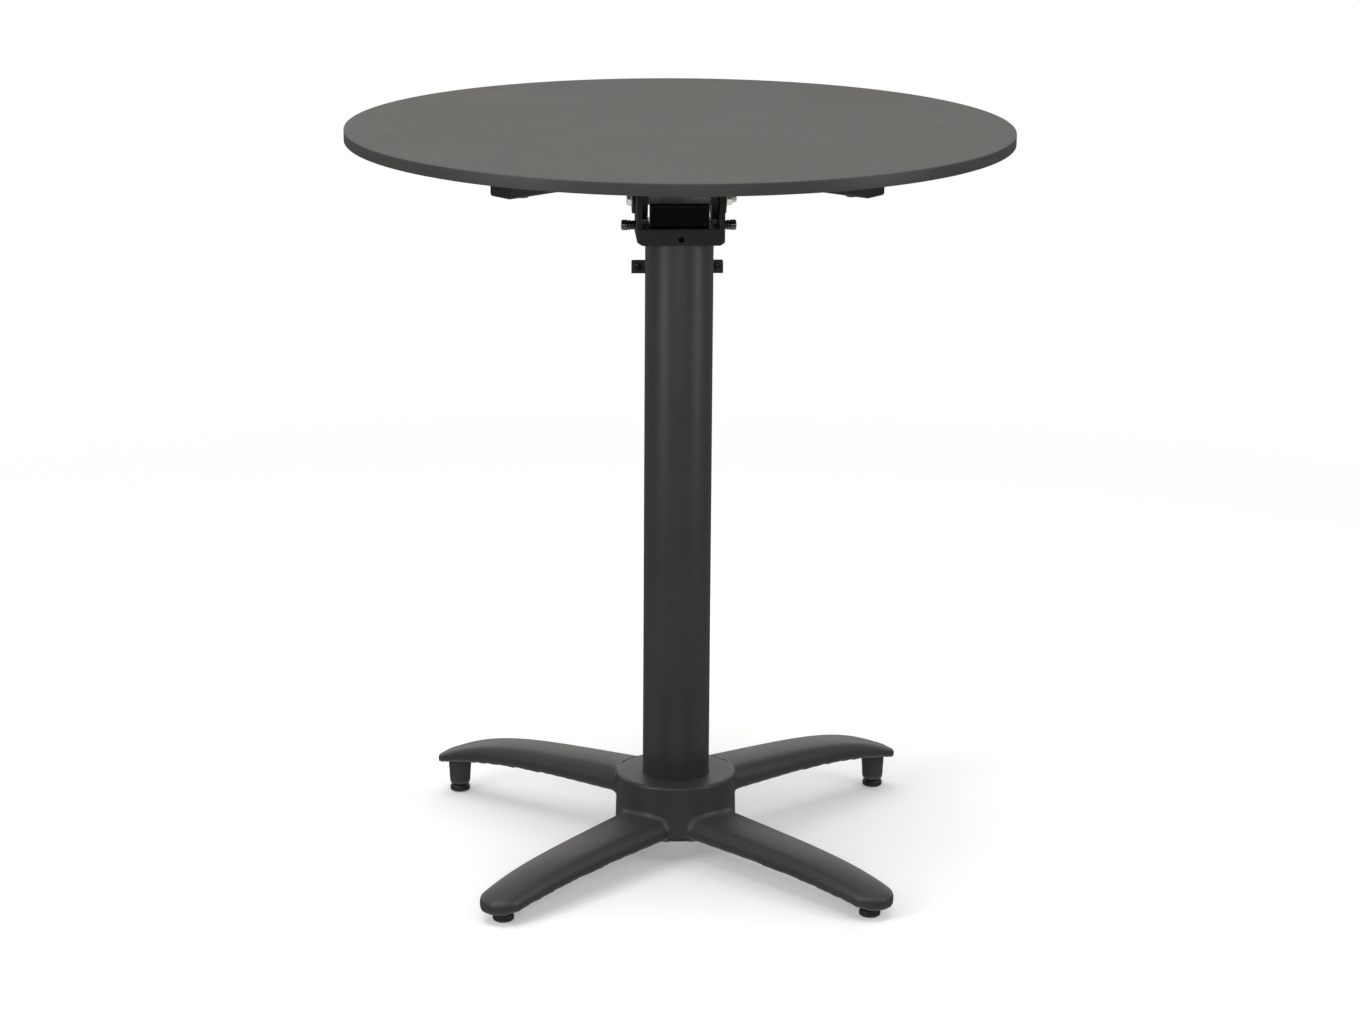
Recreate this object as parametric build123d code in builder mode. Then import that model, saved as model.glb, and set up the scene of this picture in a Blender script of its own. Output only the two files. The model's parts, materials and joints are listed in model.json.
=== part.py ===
"""Folding bistro table with a round tilting top on a four-arm nesting pedestal.

Millimetres. Origin on the floor under the column, +Z up, -Y is the front (low arms),
+Y is the back, the side where the top hangs when it is folded.
"""
import os
from math import cos, radians, sin

from build123d import *

os.makedirs("parts", exist_ok=True)

# ---------------------------------------------------------------- driving sizes
TABLE_HEIGHT = 745.0
TOP_DIAMETER = 660.0
TOP_THICKNESS = 12.0
TOP_EDGE_CHAMFER = 1.0

COLUMN_DIAMETER = 68.0
COLUMN_WALL = 2.0

HUB_DIAMETER = 121.0
HUB_TOP = 78.5
HUB_BOTTOM = 22.0
HUB_EDGE_RADIUS = 2.5
HUB_DRAFT_ANGLE = 1.4
SOCKET_FLOOR = 42.0
SOCKET_WEB = 12.0
NUT_POCKET_DIAMETER = 46.0

GLIDE_CIRCLE_RADIUS = 281.5
BACK_ARM_ANGLE = 52.2
FRONT_ARM_ANGLE = 39.6
ARM_ROOT_WIDTH = 67.0
ARM_TIP_RADIUS = 23.3
ARM_SHOULDER_RADIUS = 14.0
TIP_SHOULDER_SHARE = 0.7
ARM_CROWN = 1.2
ARM_ROOT_SHARE = 0.55
ARM_FLARE = 12.1
ARM_TIP_OVERRUN = 1.0
ARM_STATIONS = (0.0, 0.2, 0.4, 0.6, 0.75, 0.88, 1.0)
ARM_STRAIGHT_SHARE = 0.26
ARM_TOP_POWER = 5.2
ARM_LOW_POWER = 3.6
ARM_WALL = 4.5
ARM_ROOF = 5.5
ARM_POCKET_REACH = 30.0
BACK_ARM_ROOT_TOP = 76.5
BACK_ARM_ROOT_DEPTH = 25.0
BACK_ARM_TIP_TOP = 36.0
BACK_ARM_TIP_DEPTH = 7.0
FRONT_ARM_ROOT_TOP = 45.0
FRONT_ARM_ROOT_DEPTH = 21.5
FRONT_ARM_TIP_TOP = 22.5
FRONT_ARM_TIP_DEPTH = 13.0
BOSS_ROOT_DIAMETER = 26.0
BOSS_END_DIAMETER = 22.6
BOSS_GAP = 0.3

GLIDE_DIAMETER = 21.0
GLIDE_HEIGHT = 7.0
GLIDE_SOLE_RADIUS = 1.5
GLIDE_RIM_RADIUS = 0.8
GLIDE_STUD_DIAMETER = 10.0
BACK_STUD_LENGTH = 36.0
FRONT_STUD_LENGTH = 17.5
STUD_SINK = 4.0
STUD_END_GAP = 3.0

TIE_ROD_DIAMETER = 10.0
TIE_ROD_OVERRUN = 3.0
TIE_ROD_RISE = 10.0
THREAD_CHAMFER = 1.0
NUT_FLATS = 17.0
NUT_HEIGHT = 8.0
WASHER_DIAMETER = 34.0
WASHER_THICKNESS = 2.5

YOKE_HEIGHT = 16.2
YOKE_WIDTH = 86.6
YOKE_CORNER_RADIUS = 3.0
YOKE_CHAMFER_WIDTH = 5.0
YOKE_CHAMFER_HEIGHT = 3.0
SPIGOT_LENGTH = 32.0
EAR_THICKNESS = 4.8
EAR_FOOT_HEIGHT = 8.0
EAR_BOSS_RADIUS = 15.0
EAR_BOSS_HEIGHT = 3.4
EAR_ROUND_RADIUS = 18.0
REST_SHOULDER_WIDTH = 14.0
REST_SHOULDER_HEIGHT = 6.0

PIVOT_BOLT_DIAMETER = 8.0
BOLT_HEAD_FLATS = 13.0
BOLT_HEAD_HEIGHT = 4.2
BOLT_NUT_HEIGHT = 6.5
BOLT_THREAD_END = 3.0
PIVOT_WASHER_DIAMETER = 16.0
PIVOT_WASHER_THICKNESS = 1.0
BUSH_DIAMETER = 12.0
SPACER_DIAMETER = 13.0

CAM_RADIUS = 21.3
CAM_THICKNESS = 6.4
CAM_OUTER_X = 38.0
CAM_PLATE_GAP = 3.7
CAM_YOKE_GAP = 1.5
HINGE_PLATE_WIDTH = 120.0
HINGE_PLATE_FRONT = 80.0
HINGE_PLATE_BACK = 100.0
HINGE_PLATE_THICKNESS = 5.0
HINGE_PLATE_CORNER_RADIUS = 8.0

FRAME_TUBE_WIDTH = 30.0
FRAME_TUBE_HEIGHT = 32.0
FRAME_TUBE_WALL = 2.0
FRAME_CORNER_RADIUS = 3.0
FRAME_ANGLE = 40.4
FRAME_INNER_RADIUS = 26.0
FRAME_OUTER_RADIUS = 231.0
END_CAP_THICKNESS = 3.0
END_CAP_PLUG = 12.0
END_CAP_EDGE_RADIUS = 1.2
TOP_SCREW_RADII = (106.0, 206.0)
TOP_SCREW_DIAMETER = 6.0
TOP_SCREW_HEAD_DIAMETER = 12.0
TOP_SCREW_HEAD_HEIGHT = 2.8
TOP_SCREW_HEAD_RADIUS = 1.8
TOP_SCREW_END_GAP = 1.0
INSERT_DIAMETER = 9.0
INSERT_LENGTH = 9.0

LATCH_BAR_DIAMETER = 9.0
LATCH_TRAVEL = 4.8
LATCH_BITE = 3.8
LATCH_CAP_WALL = 0.8
LATCH_CAP_LENGTH = 9.0
LATCH_CAP_END_X = 57.3
LATCH_CAP_END_WALL = 2.0
LATCH_CAP_EDGE_RADIUS = 1.2
PADDLE_WIDTH = 59.0
PADDLE_THICKNESS = 2.5
PADDLE_FRONT = 30.0
PADDLE_CENTRE_X = -1.7
PADDLE_DROP = 0.5
PADDLE_LAP = 2.0
PADDLE_BEAD_DIAMETER = 4.6
PADDLE_SCREW_DIAMETER = 4.0
PADDLE_SCREW_HEAD_DIAMETER = 7.2
PADDLE_SCREW_HEAD_HEIGHT = 2.0
PADDLE_SCREW_TIP_GAP = 0.3
PADDLE_SCREW_X = 15.0
SPRING_DIAMETER = 7.6
SPRING_WIRE = 1.0
SPRING_X = 20.0
SPRING_LENGTH = 21.0
SPRING_END_GAP = 0.3

BUMPER_DROP = 34.0
BUMPER_OVERHANG = 12.0
BUMPER_BAR_HEIGHT = 13.5
BUMPER_BAR_THICKNESS = 2.0
BUMPER_BAR_CORNER = 3.5
BUMPER_PAD_WIDTH = 11.4
BUMPER_PAD_HEIGHT = 12.5
BUMPER_PAD_THICKNESS = 2.65
BUMPER_PAD_SKIN = 0.8
BUMPER_SCREW_DIAMETER = 4.0
BUMPER_SCREW_HEAD_DIAMETER = 7.5
BUMPER_SCREW_HEAD_HEIGHT = 2.2
BUMPER_SCREW_TIP_GAP = 0.2
GRUB_DIAMETER = 6.0
GRUB_LENGTH = 10.0
GRUB_RISE = 6.0
GRUB_SOCKET_FLATS = 3.0
GRUB_SOCKET_DEPTH = 3.0
REST_PAD_WIDTH = 12.0
REST_PAD_INSET = 0.3
REST_PAD_SPACE = 6.0
PAD_CORNER_RADIUS = 1.5

# ---------------------------------------------------------------- clearances
SEAT_GAP = 0.1
RUNNING_GAP = 0.06
THREAD_GAP = 0.05
SLIDE_GAP = 0.1
CHANNEL_GAP = 0.4
SIDE_GAP = 0.5
STOP_GAP = 0.25

# ---------------------------------------------------------------- derived places
top_underside = TABLE_HEIGHT - TOP_THICKNESS
frame_bottom = top_underside - FRAME_TUBE_HEIGHT
plate_bottom = frame_bottom - HINGE_PLATE_THICKNESS
column_radius = COLUMN_DIAMETER / 2
column_bore = column_radius - COLUMN_WALL
hub_radius = HUB_DIAMETER / 2
pivot_drop = CAM_RADIUS + CAM_PLATE_GAP
pivot_height = plate_bottom - pivot_drop
pad_back_y = column_radius + SEAT_GAP + BUMPER_BAR_THICKNESS + BUMPER_PAD_THICKNESS
pivot_back = pad_back_y + STOP_GAP - pivot_drop
yoke_top = pivot_height - CAM_RADIUS - CAM_YOKE_GAP
yoke_bottom = yoke_top - YOKE_HEIGHT
yoke_depth = COLUMN_DIAMETER
ear_top = plate_bottom - REST_PAD_SPACE
ear_inner_x = CAM_OUTER_X + SIDE_GAP
ear_outer_x = ear_inner_x + EAR_THICKNESS
boss_outer_x = ear_outer_x + EAR_BOSS_HEIGHT
cam_inner_x = CAM_OUTER_X - CAM_THICKNESS
bolt_radius = PIVOT_BOLT_DIAMETER / 2
bar_radius = LATCH_BAR_DIAMETER / 2
locked_drop = CAM_RADIUS - LATCH_BITE + bar_radius
bar_locked_z = pivot_height - locked_drop
bar_rest_z = bar_locked_z - LATCH_TRAVEL
tie_rod_radius = TIE_ROD_DIAMETER / 2
glide_boss_bottom = GLIDE_HEIGHT + BOSS_GAP
stud_bottom = GLIDE_HEIGHT - STUD_SINK
arm_root_x = hub_radius * ARM_ROOT_SHARE
arm_tip_x = GLIDE_CIRCLE_RADIUS + ARM_TIP_RADIUS + ARM_TIP_OVERRUN

ARM_ANGLES = {
    "front_left": 270.0 - FRONT_ARM_ANGLE,
    "front_right": 270.0 + FRONT_ARM_ANGLE,
    "back_left": 90.0 + BACK_ARM_ANGLE,
    "back_right": 90.0 - BACK_ARM_ANGLE,
}


def on_circle(radius, angle):
    """Plan position at a radius and an angle in degrees from +X."""
    return radius * cos(radians(angle)), radius * sin(radians(angle))


def finish(part, name):
    """Label one finished sub-part and write it to its own STEP file."""
    part.label = name
    export_step(part, f"parts/{name}.step")


# ---------------------------------------------------------------- base casting
def slope(start, end, share, straight, power):
    """Height at a share of the arm's length: a straight fall plus one that steepens."""
    return start + (end - start) * (straight * share + (1 - straight) * share**power)


def arm_loft(root, tip, inset, roof, reach):
    """Loft of round-shouldered sections, trimmed to a plan with a round tip."""
    with BuildPart() as solid:
        for share in ARM_STATIONS:
            half = ARM_ROOT_WIDTH / 2 + (ARM_TIP_RADIUS - ARM_ROOT_WIDTH / 2) * share - inset
            top = slope(root[0], tip[0], share, ARM_STRAIGHT_SHARE, ARM_TOP_POWER) - roof
            low = slope(root[0] - root[1], tip[0] - tip[1], share, 0.0, ARM_LOW_POWER) - reach
            tip_shoulder = tip[1] * TIP_SHOULDER_SHARE
            shoulder = ARM_SHOULDER_RADIUS + (tip_shoulder - ARM_SHOULDER_RADIUS) * share**2
            shoulder = shoulder - inset / 2
            with BuildSketch(Plane.YZ.offset(arm_root_x + (arm_tip_x - arm_root_x) * share)):
                with BuildLine():
                    left = Line((-half, low), (-half, top - shoulder))
                    right = Line((half, low), (half, top - shoulder))
                    left_arc = TangentArc(left @ 1, (shoulder - half, top), tangent=(0, 1))
                    right_arc = TangentArc(right @ 1, (half - shoulder, top), tangent=(0, 1))
                    ThreePointArc(left_arc @ 1, (0, top + ARM_CROWN), right_arc @ 1)
                    Line(left @ 0, right @ 0)
                make_face()
        loft()
        with BuildSketch(Plane.XY):
            with Locations((GLIDE_CIRCLE_RADIUS, 0)):
                Circle(ARM_TIP_RADIUS - inset)
            with Locations((hub_radius / 2, 0)):
                Rectangle(hub_radius, ARM_ROOT_WIDTH + ARM_FLARE)
            make_hull()
        extrude(amount=HUB_TOP * 2, both=True, mode=Mode.INTERSECT)
    return solid


def cast_arm(root, tip):
    """One arm of the casting along +X: crowned, hollow below, with a glide boss."""
    share = (GLIDE_CIRCLE_RADIUS - arm_root_x) / (arm_tip_x - arm_root_x)
    boss_top = slope(root[0], tip[0], share, ARM_STRAIGHT_SHARE, ARM_TOP_POWER) - ARM_ROOF / 2
    outer = arm_loft(root, tip, 0, 0, 0)
    pocket = arm_loft(root, tip, ARM_WALL, ARM_ROOF, ARM_POCKET_REACH)
    with BuildPart() as hollow:
        add(pocket.part)
        Box(2 * hub_radius - ARM_WALL, HUB_DIAMETER, 4 * HUB_TOP, mode=Mode.SUBTRACT)
    with BuildPart() as arm:
        add(outer.part)
        add(hollow.part, mode=Mode.SUBTRACT)
        with BuildSketch(Plane.XZ):
            with BuildLine():
                Polyline(
                    (GLIDE_CIRCLE_RADIUS, glide_boss_bottom),
                    (GLIDE_CIRCLE_RADIUS + BOSS_END_DIAMETER / 2, glide_boss_bottom),
                    (GLIDE_CIRCLE_RADIUS + BOSS_ROOT_DIAMETER / 2, boss_top),
                    (GLIDE_CIRCLE_RADIUS, boss_top),
                    close=True,
                )
            make_face()
        revolve(axis=Axis((GLIDE_CIRCLE_RADIUS, 0, 0), (0, 0, 1)))
    return arm


back_arm = cast_arm(
    (BACK_ARM_ROOT_TOP, BACK_ARM_ROOT_DEPTH), (BACK_ARM_TIP_TOP, BACK_ARM_TIP_DEPTH)
)
front_arm = cast_arm(
    (FRONT_ARM_ROOT_TOP, FRONT_ARM_ROOT_DEPTH), (FRONT_ARM_TIP_TOP, FRONT_ARM_TIP_DEPTH)
)
STUD_LENGTHS = {"front": FRONT_STUD_LENGTH, "back": BACK_STUD_LENGTH}

with BuildPart() as base_casting:
    with BuildSketch(Plane.XY.offset(HUB_TOP)):
        Circle(hub_radius)
    extrude(amount=HUB_BOTTOM - HUB_TOP, taper=-HUB_DRAFT_ANGLE)
    fillet(base_casting.edges().group_by(Axis.Z)[-1], radius=HUB_EDGE_RADIUS)
    for name, angle in ARM_ANGLES.items():
        with Locations(Location((0, 0, 0), (0, 0, angle))):
            add((front_arm if name.startswith("front") else back_arm).part)
    with BuildSketch(Plane.XY.offset(SOCKET_FLOOR)):
        Circle(column_radius + SEAT_GAP)
    extrude(amount=HUB_TOP, mode=Mode.SUBTRACT)
    with BuildSketch(Plane.XY):
        Circle(NUT_POCKET_DIAMETER / 2)
    extrude(amount=SOCKET_FLOOR - SOCKET_WEB, mode=Mode.SUBTRACT)
    with BuildSketch(Plane.XY):
        Circle(tie_rod_radius + SIDE_GAP)
    extrude(amount=HUB_TOP, mode=Mode.SUBTRACT)
    for name, angle in ARM_ANGLES.items():
        length = STUD_LENGTHS[name.split("_")[0]]
        with BuildSketch(Plane.XY):
            with Locations(on_circle(GLIDE_CIRCLE_RADIUS, angle)):
                Circle(GLIDE_STUD_DIAMETER / 2 + RUNNING_GAP)
        extrude(amount=stud_bottom + length + STUD_END_GAP, mode=Mode.SUBTRACT)
finish(base_casting.part, "base_casting")

# ---------------------------------------------------------------- glides
for name, angle in ARM_ANGLES.items():
    centre = on_circle(GLIDE_CIRCLE_RADIUS, angle)
    length = STUD_LENGTHS[name.split("_")[0]]
    with BuildPart() as glide_foot:
        with BuildSketch(Plane.XY):
            with Locations(centre):
                Circle(GLIDE_DIAMETER / 2)
        extrude(amount=GLIDE_HEIGHT)
        fillet(glide_foot.edges().group_by(Axis.Z)[0], radius=GLIDE_SOLE_RADIUS)
        fillet(glide_foot.edges().group_by(Axis.Z)[-1], radius=GLIDE_RIM_RADIUS)
        with BuildSketch(Plane.XY.offset(stud_bottom)):
            with Locations(centre):
                Circle(GLIDE_STUD_DIAMETER / 2 + THREAD_GAP)
        extrude(amount=GLIDE_HEIGHT, mode=Mode.SUBTRACT)
    finish(glide_foot.part, f"glide_foot_{name}")

    with BuildPart() as glide_stud:
        with BuildSketch(Plane.XY.offset(stud_bottom)):
            with Locations(centre):
                Circle(GLIDE_STUD_DIAMETER / 2)
        extrude(amount=length)
        chamfer(glide_stud.edges().group_by(Axis.Z)[-1], length=THREAD_CHAMFER)
    finish(glide_stud.part, f"glide_stud_{name}")

# ---------------------------------------------------------------- column and tie rod
with BuildPart() as column_tube:
    with BuildSketch(Plane.XY.offset(SOCKET_FLOOR)):
        Circle(column_radius)
        Circle(column_bore, mode=Mode.SUBTRACT)
    extrude(amount=yoke_bottom - SOCKET_FLOOR)
finish(column_tube.part, "column_tube")

web_bottom = SOCKET_FLOOR - SOCKET_WEB
rod_bottom = web_bottom - WASHER_THICKNESS - NUT_HEIGHT - TIE_ROD_OVERRUN
rod_top = yoke_bottom + TIE_ROD_RISE
with BuildPart() as tie_rod:
    with BuildSketch(Plane.XY.offset(rod_bottom)):
        Circle(tie_rod_radius)
    extrude(amount=rod_top - rod_bottom)
    chamfer(tie_rod.edges().filter_by(GeomType.CIRCLE), length=THREAD_CHAMFER)
finish(tie_rod.part, "tie_rod")

with BuildPart() as tie_rod_washer:
    with BuildSketch(Plane.XY.offset(web_bottom - WASHER_THICKNESS)):
        Circle(WASHER_DIAMETER / 2)
        Circle(tie_rod_radius + SIDE_GAP, mode=Mode.SUBTRACT)
    extrude(amount=WASHER_THICKNESS)
finish(tie_rod_washer.part, "tie_rod_washer")

with BuildPart() as tie_rod_nut:
    with BuildSketch(Plane.XY.offset(web_bottom - WASHER_THICKNESS - NUT_HEIGHT)):
        RegularPolygon(NUT_FLATS / 2, 6, major_radius=False)
        Circle(tie_rod_radius + THREAD_GAP, mode=Mode.SUBTRACT)
    extrude(amount=NUT_HEIGHT)
finish(tie_rod_nut.part, "tie_rod_nut")

# ---------------------------------------------------------------- head yoke
grub_z = yoke_bottom + GRUB_RISE
spring_floor = bar_rest_z - bar_radius - SPRING_END_GAP - SPRING_LENGTH
channel_floor = bar_rest_z - bar_radius - CHANNEL_GAP
rest_pad_y = -yoke_depth / 2 + YOKE_CORNER_RADIUS + REST_SHOULDER_WIDTH / 2
with BuildPart() as head_yoke:
    with BuildSketch(Plane.XZ):
        with BuildLine():
            half = YOKE_WIDTH / 2
            Polyline(
                (-half, yoke_top),
                (-half, yoke_bottom + YOKE_CHAMFER_HEIGHT),
                (-half + YOKE_CHAMFER_WIDTH, yoke_bottom),
                (half - YOKE_CHAMFER_WIDTH, yoke_bottom),
                (half, yoke_bottom + YOKE_CHAMFER_HEIGHT),
                (half, yoke_top),
                close=True,
            )
        make_face()
    extrude(amount=yoke_depth / 2, both=True)
    fillet(head_yoke.edges().filter_by(Axis.Z), radius=YOKE_CORNER_RADIUS)
    for side in (-1, 1):
        with BuildSketch(Plane.YZ.offset(side * ear_inner_x)):
            with Locations((pivot_back, pivot_height)):
                Circle(EAR_ROUND_RADIUS)
            with Locations((0, yoke_top - EAR_FOOT_HEIGHT / 2)):
                Rectangle(yoke_depth - 2 * YOKE_CORNER_RADIUS, EAR_FOOT_HEIGHT)
            with Locations((rest_pad_y, ear_top - REST_SHOULDER_HEIGHT / 2)):
                Rectangle(REST_SHOULDER_WIDTH, REST_SHOULDER_HEIGHT)
            make_hull()
        extrude(amount=side * EAR_THICKNESS)
        with BuildSketch(Plane.YZ.offset(side * ear_outer_x)):
            with Locations((pivot_back, pivot_height)):
                Circle(EAR_BOSS_RADIUS)
        extrude(amount=side * EAR_BOSS_HEIGHT)
    with BuildSketch(Plane.XY.offset(yoke_bottom - SPIGOT_LENGTH)):
        Circle(column_bore - SEAT_GAP)
    extrude(amount=SPIGOT_LENGTH)
    with BuildSketch(Plane.XY.offset(yoke_bottom - SPIGOT_LENGTH)):
        Circle(tie_rod_radius + THREAD_GAP)
    extrude(amount=rod_top + THREAD_GAP - yoke_bottom + SPIGOT_LENGTH, mode=Mode.SUBTRACT)
    with BuildSketch(Plane.YZ):
        with Locations((pivot_back, (channel_floor + bar_locked_z) / 2)):
            Rectangle(LATCH_BAR_DIAMETER + 2 * SLIDE_GAP, bar_locked_z - channel_floor)
        with Locations((pivot_back, bar_locked_z)):
            Circle(bar_radius + SLIDE_GAP)
    extrude(amount=YOKE_WIDTH, both=True, mode=Mode.SUBTRACT)
    with BuildSketch(Plane.YZ):
        with Locations((pivot_back, pivot_height)):
            Circle(BUSH_DIAMETER / 2 + THREAD_GAP)
    extrude(amount=YOKE_WIDTH, both=True, mode=Mode.SUBTRACT)
    with BuildSketch(Plane.XY.offset(spring_floor)):
        with Locations((-SPRING_X, pivot_back), (SPRING_X, pivot_back)):
            Circle(SPRING_DIAMETER / 2 + CHANNEL_GAP)
    extrude(amount=SPRING_LENGTH + CHANNEL_GAP, mode=Mode.SUBTRACT)
    with BuildSketch(Plane.XZ.offset(yoke_depth / 2)):
        with Locations((0, grub_z)):
            Circle(GRUB_DIAMETER / 2 + THREAD_GAP)
    extrude(amount=tie_rod_radius - yoke_depth / 2, mode=Mode.SUBTRACT)
finish(head_yoke.part, "head_yoke")

with BuildPart() as yoke_grub_screw:
    with BuildSketch(Plane.XZ.offset(tie_rod_radius + GRUB_LENGTH)):
        with Locations((0, grub_z)):
            Circle(GRUB_DIAMETER / 2)
            RegularPolygon(GRUB_SOCKET_FLATS / 2, 6, major_radius=False, mode=Mode.SUBTRACT)
    extrude(amount=-GRUB_SOCKET_DEPTH)
    with BuildSketch(Plane.XZ.offset(tie_rod_radius + GRUB_LENGTH - GRUB_SOCKET_DEPTH)):
        with Locations((0, grub_z)):
            Circle(GRUB_DIAMETER / 2)
    extrude(amount=GRUB_SOCKET_DEPTH - GRUB_LENGTH)
finish(yoke_grub_screw.part, "yoke_grub_screw")

# two rubber pads on the front shoulders of the ears carry the hinge plate
with BuildPart() as rest_pads:
    with BuildSketch(Plane.XY.offset(ear_top)):
        for side in (-1, 1):
            with Locations((side * (ear_inner_x + EAR_THICKNESS / 2), rest_pad_y)):
                RectangleRounded(
                    EAR_THICKNESS - 2 * REST_PAD_INSET, REST_PAD_WIDTH, PAD_CORNER_RADIUS
                )
    extrude(amount=plate_bottom - STOP_GAP - ear_top)
finish(rest_pads.part, "rest_pads")

with BuildPart() as latch_springs:
    with BuildSketch(Plane.XY.offset(spring_floor)):
        with Locations((-SPRING_X, pivot_back), (SPRING_X, pivot_back)):
            Circle(SPRING_DIAMETER / 2)
            Circle(SPRING_DIAMETER / 2 - SPRING_WIRE, mode=Mode.SUBTRACT)
    extrude(amount=SPRING_LENGTH)
finish(latch_springs.part, "latch_springs")

# ---------------------------------------------------------------- bumpers behind the column
bumper_z = yoke_bottom - BUMPER_DROP
bar_front_y = column_radius + SEAT_GAP
bar_back_y = bar_front_y + BUMPER_BAR_THICKNESS
pad_x = column_radius + BUMPER_OVERHANG - BUMPER_PAD_WIDTH / 2
bumper_places = [(-pad_x, bumper_z), (pad_x, bumper_z)]
with BuildPart() as bumper_bar:
    with BuildSketch(Plane.XZ.offset(-bar_front_y)):
        with Locations((0, bumper_z)):
            Rectangle(COLUMN_DIAMETER + 2 * BUMPER_OVERHANG, BUMPER_BAR_HEIGHT)
        with Locations(*bumper_places):
            Circle(BUMPER_SCREW_DIAMETER / 2 + SLIDE_GAP, mode=Mode.SUBTRACT)
    extrude(amount=-BUMPER_BAR_THICKNESS)
    corners = bumper_bar.edges().filter_by(Axis.Y).group_by(Axis.Z)[-1]
    chamfer(corners.filter_by(lambda edge: abs(edge.center().X) > pad_x), length=BUMPER_BAR_CORNER)
finish(bumper_bar.part, "bumper_bar")

with BuildPart() as bumper_pads:
    with BuildSketch(Plane.XZ.offset(-bar_back_y)):
        with Locations(*bumper_places):
            RectangleRounded(BUMPER_PAD_WIDTH, BUMPER_PAD_HEIGHT, PAD_CORNER_RADIUS)
    extrude(amount=-BUMPER_PAD_THICKNESS)
    with BuildSketch(Plane.XZ.offset(-bar_back_y)):
        with Locations(*bumper_places):
            Circle(BUMPER_SCREW_DIAMETER / 2 + THREAD_GAP)
    extrude(amount=BUMPER_PAD_SKIN - BUMPER_PAD_THICKNESS, mode=Mode.SUBTRACT)
finish(bumper_pads.part, "bumper_pads")

screw_tip_y = pad_back_y - BUMPER_PAD_SKIN - BUMPER_SCREW_TIP_GAP
with BuildPart() as bumper_screws:
    with BuildSketch(Plane.XZ.offset(-bar_front_y)):
        with Locations(*bumper_places):
            Circle(BUMPER_SCREW_HEAD_DIAMETER / 2)
    extrude(amount=BUMPER_SCREW_HEAD_HEIGHT)
    with BuildSketch(Plane.XZ.offset(-bar_front_y)):
        with Locations(*bumper_places):
            Circle(BUMPER_SCREW_DIAMETER / 2)
    extrude(amount=bar_front_y - screw_tip_y)
finish(bumper_screws.part, "bumper_screws")

# ---------------------------------------------------------------- pivot hardware
with BuildPart() as pivot_bushes:
    for side in (-1, 1):
        with BuildSketch(Plane.YZ.offset(side * ear_inner_x)):
            with Locations((pivot_back, pivot_height)):
                Circle(BUSH_DIAMETER / 2)
                Circle(bolt_radius + RUNNING_GAP, mode=Mode.SUBTRACT)
        extrude(amount=side * (EAR_THICKNESS + EAR_BOSS_HEIGHT))
finish(pivot_bushes.part, "pivot_bushes")

with BuildPart() as pivot_washers:
    for side in (-1, 1):
        with BuildSketch(Plane.YZ.offset(side * boss_outer_x)):
            with Locations((pivot_back, pivot_height)):
                Circle(PIVOT_WASHER_DIAMETER / 2)
                Circle(bolt_radius + SIDE_GAP / 2, mode=Mode.SUBTRACT)
        extrude(amount=side * PIVOT_WASHER_THICKNESS)
finish(pivot_washers.part, "pivot_washers")

washer_outer_x = boss_outer_x + PIVOT_WASHER_THICKNESS
bolt_end_x = washer_outer_x + BOLT_NUT_HEIGHT + BOLT_THREAD_END
with BuildPart() as pivot_bolt:
    with BuildSketch(Plane.YZ.offset(-washer_outer_x)):
        with Locations((pivot_back, pivot_height)):
            RegularPolygon(BOLT_HEAD_FLATS / 2, 6, major_radius=False)
    extrude(amount=-BOLT_HEAD_HEIGHT)
    with BuildSketch(Plane.YZ.offset(-washer_outer_x)):
        with Locations((pivot_back, pivot_height)):
            Circle(bolt_radius)
    extrude(amount=washer_outer_x + bolt_end_x)
    chamfer(pivot_bolt.edges().group_by(Axis.X)[-1], length=THREAD_CHAMFER)
finish(pivot_bolt.part, "pivot_bolt")

with BuildPart() as pivot_nut:
    with BuildSketch(Plane.YZ.offset(washer_outer_x)):
        with Locations((pivot_back, pivot_height)):
            RegularPolygon(BOLT_HEAD_FLATS / 2, 6, major_radius=False)
            Circle(bolt_radius + THREAD_GAP, mode=Mode.SUBTRACT)
    extrude(amount=BOLT_NUT_HEIGHT)
finish(pivot_nut.part, "pivot_nut")

with BuildPart() as pivot_spacer:
    with BuildSketch(Plane.YZ.offset(-cam_inner_x)):
        with Locations((pivot_back, pivot_height)):
            Circle(SPACER_DIAMETER / 2)
            Circle(bolt_radius + RUNNING_GAP, mode=Mode.SUBTRACT)
    extrude(amount=2 * cam_inner_x)
finish(pivot_spacer.part, "pivot_spacer")

# ---------------------------------------------------------------- hinge plate and cams
with BuildPart() as hinge_plate:
    with BuildSketch(Plane.XY.offset(plate_bottom)):
        with Locations((0, (HINGE_PLATE_BACK - HINGE_PLATE_FRONT) / 2)):
            RectangleRounded(
                HINGE_PLATE_WIDTH,
                HINGE_PLATE_FRONT + HINGE_PLATE_BACK,
                HINGE_PLATE_CORNER_RADIUS,
            )
    extrude(amount=HINGE_PLATE_THICKNESS)
finish(hinge_plate.part, "hinge_plate")

for side, name in ((-1, "left"), (1, "right")):
    with BuildPart() as cam_ear:
        with BuildSketch(Plane.YZ.offset(side * cam_inner_x)):
            with Locations((pivot_back, pivot_height)):
                Circle(CAM_RADIUS)
            with Locations((pivot_back, (pivot_height + plate_bottom) / 2)):
                Rectangle(2 * CAM_RADIUS, plate_bottom - pivot_height)
            with Locations((pivot_back, pivot_height)):
                Circle(bolt_radius + RUNNING_GAP, mode=Mode.SUBTRACT)
            with Locations(
                (pivot_back, pivot_height - locked_drop), (pivot_back + locked_drop, pivot_height)
            ):
                Circle(bar_radius + STOP_GAP, mode=Mode.SUBTRACT)
        extrude(amount=side * CAM_THICKNESS)
    finish(cam_ear.part, f"cam_ear_{name}")

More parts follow.
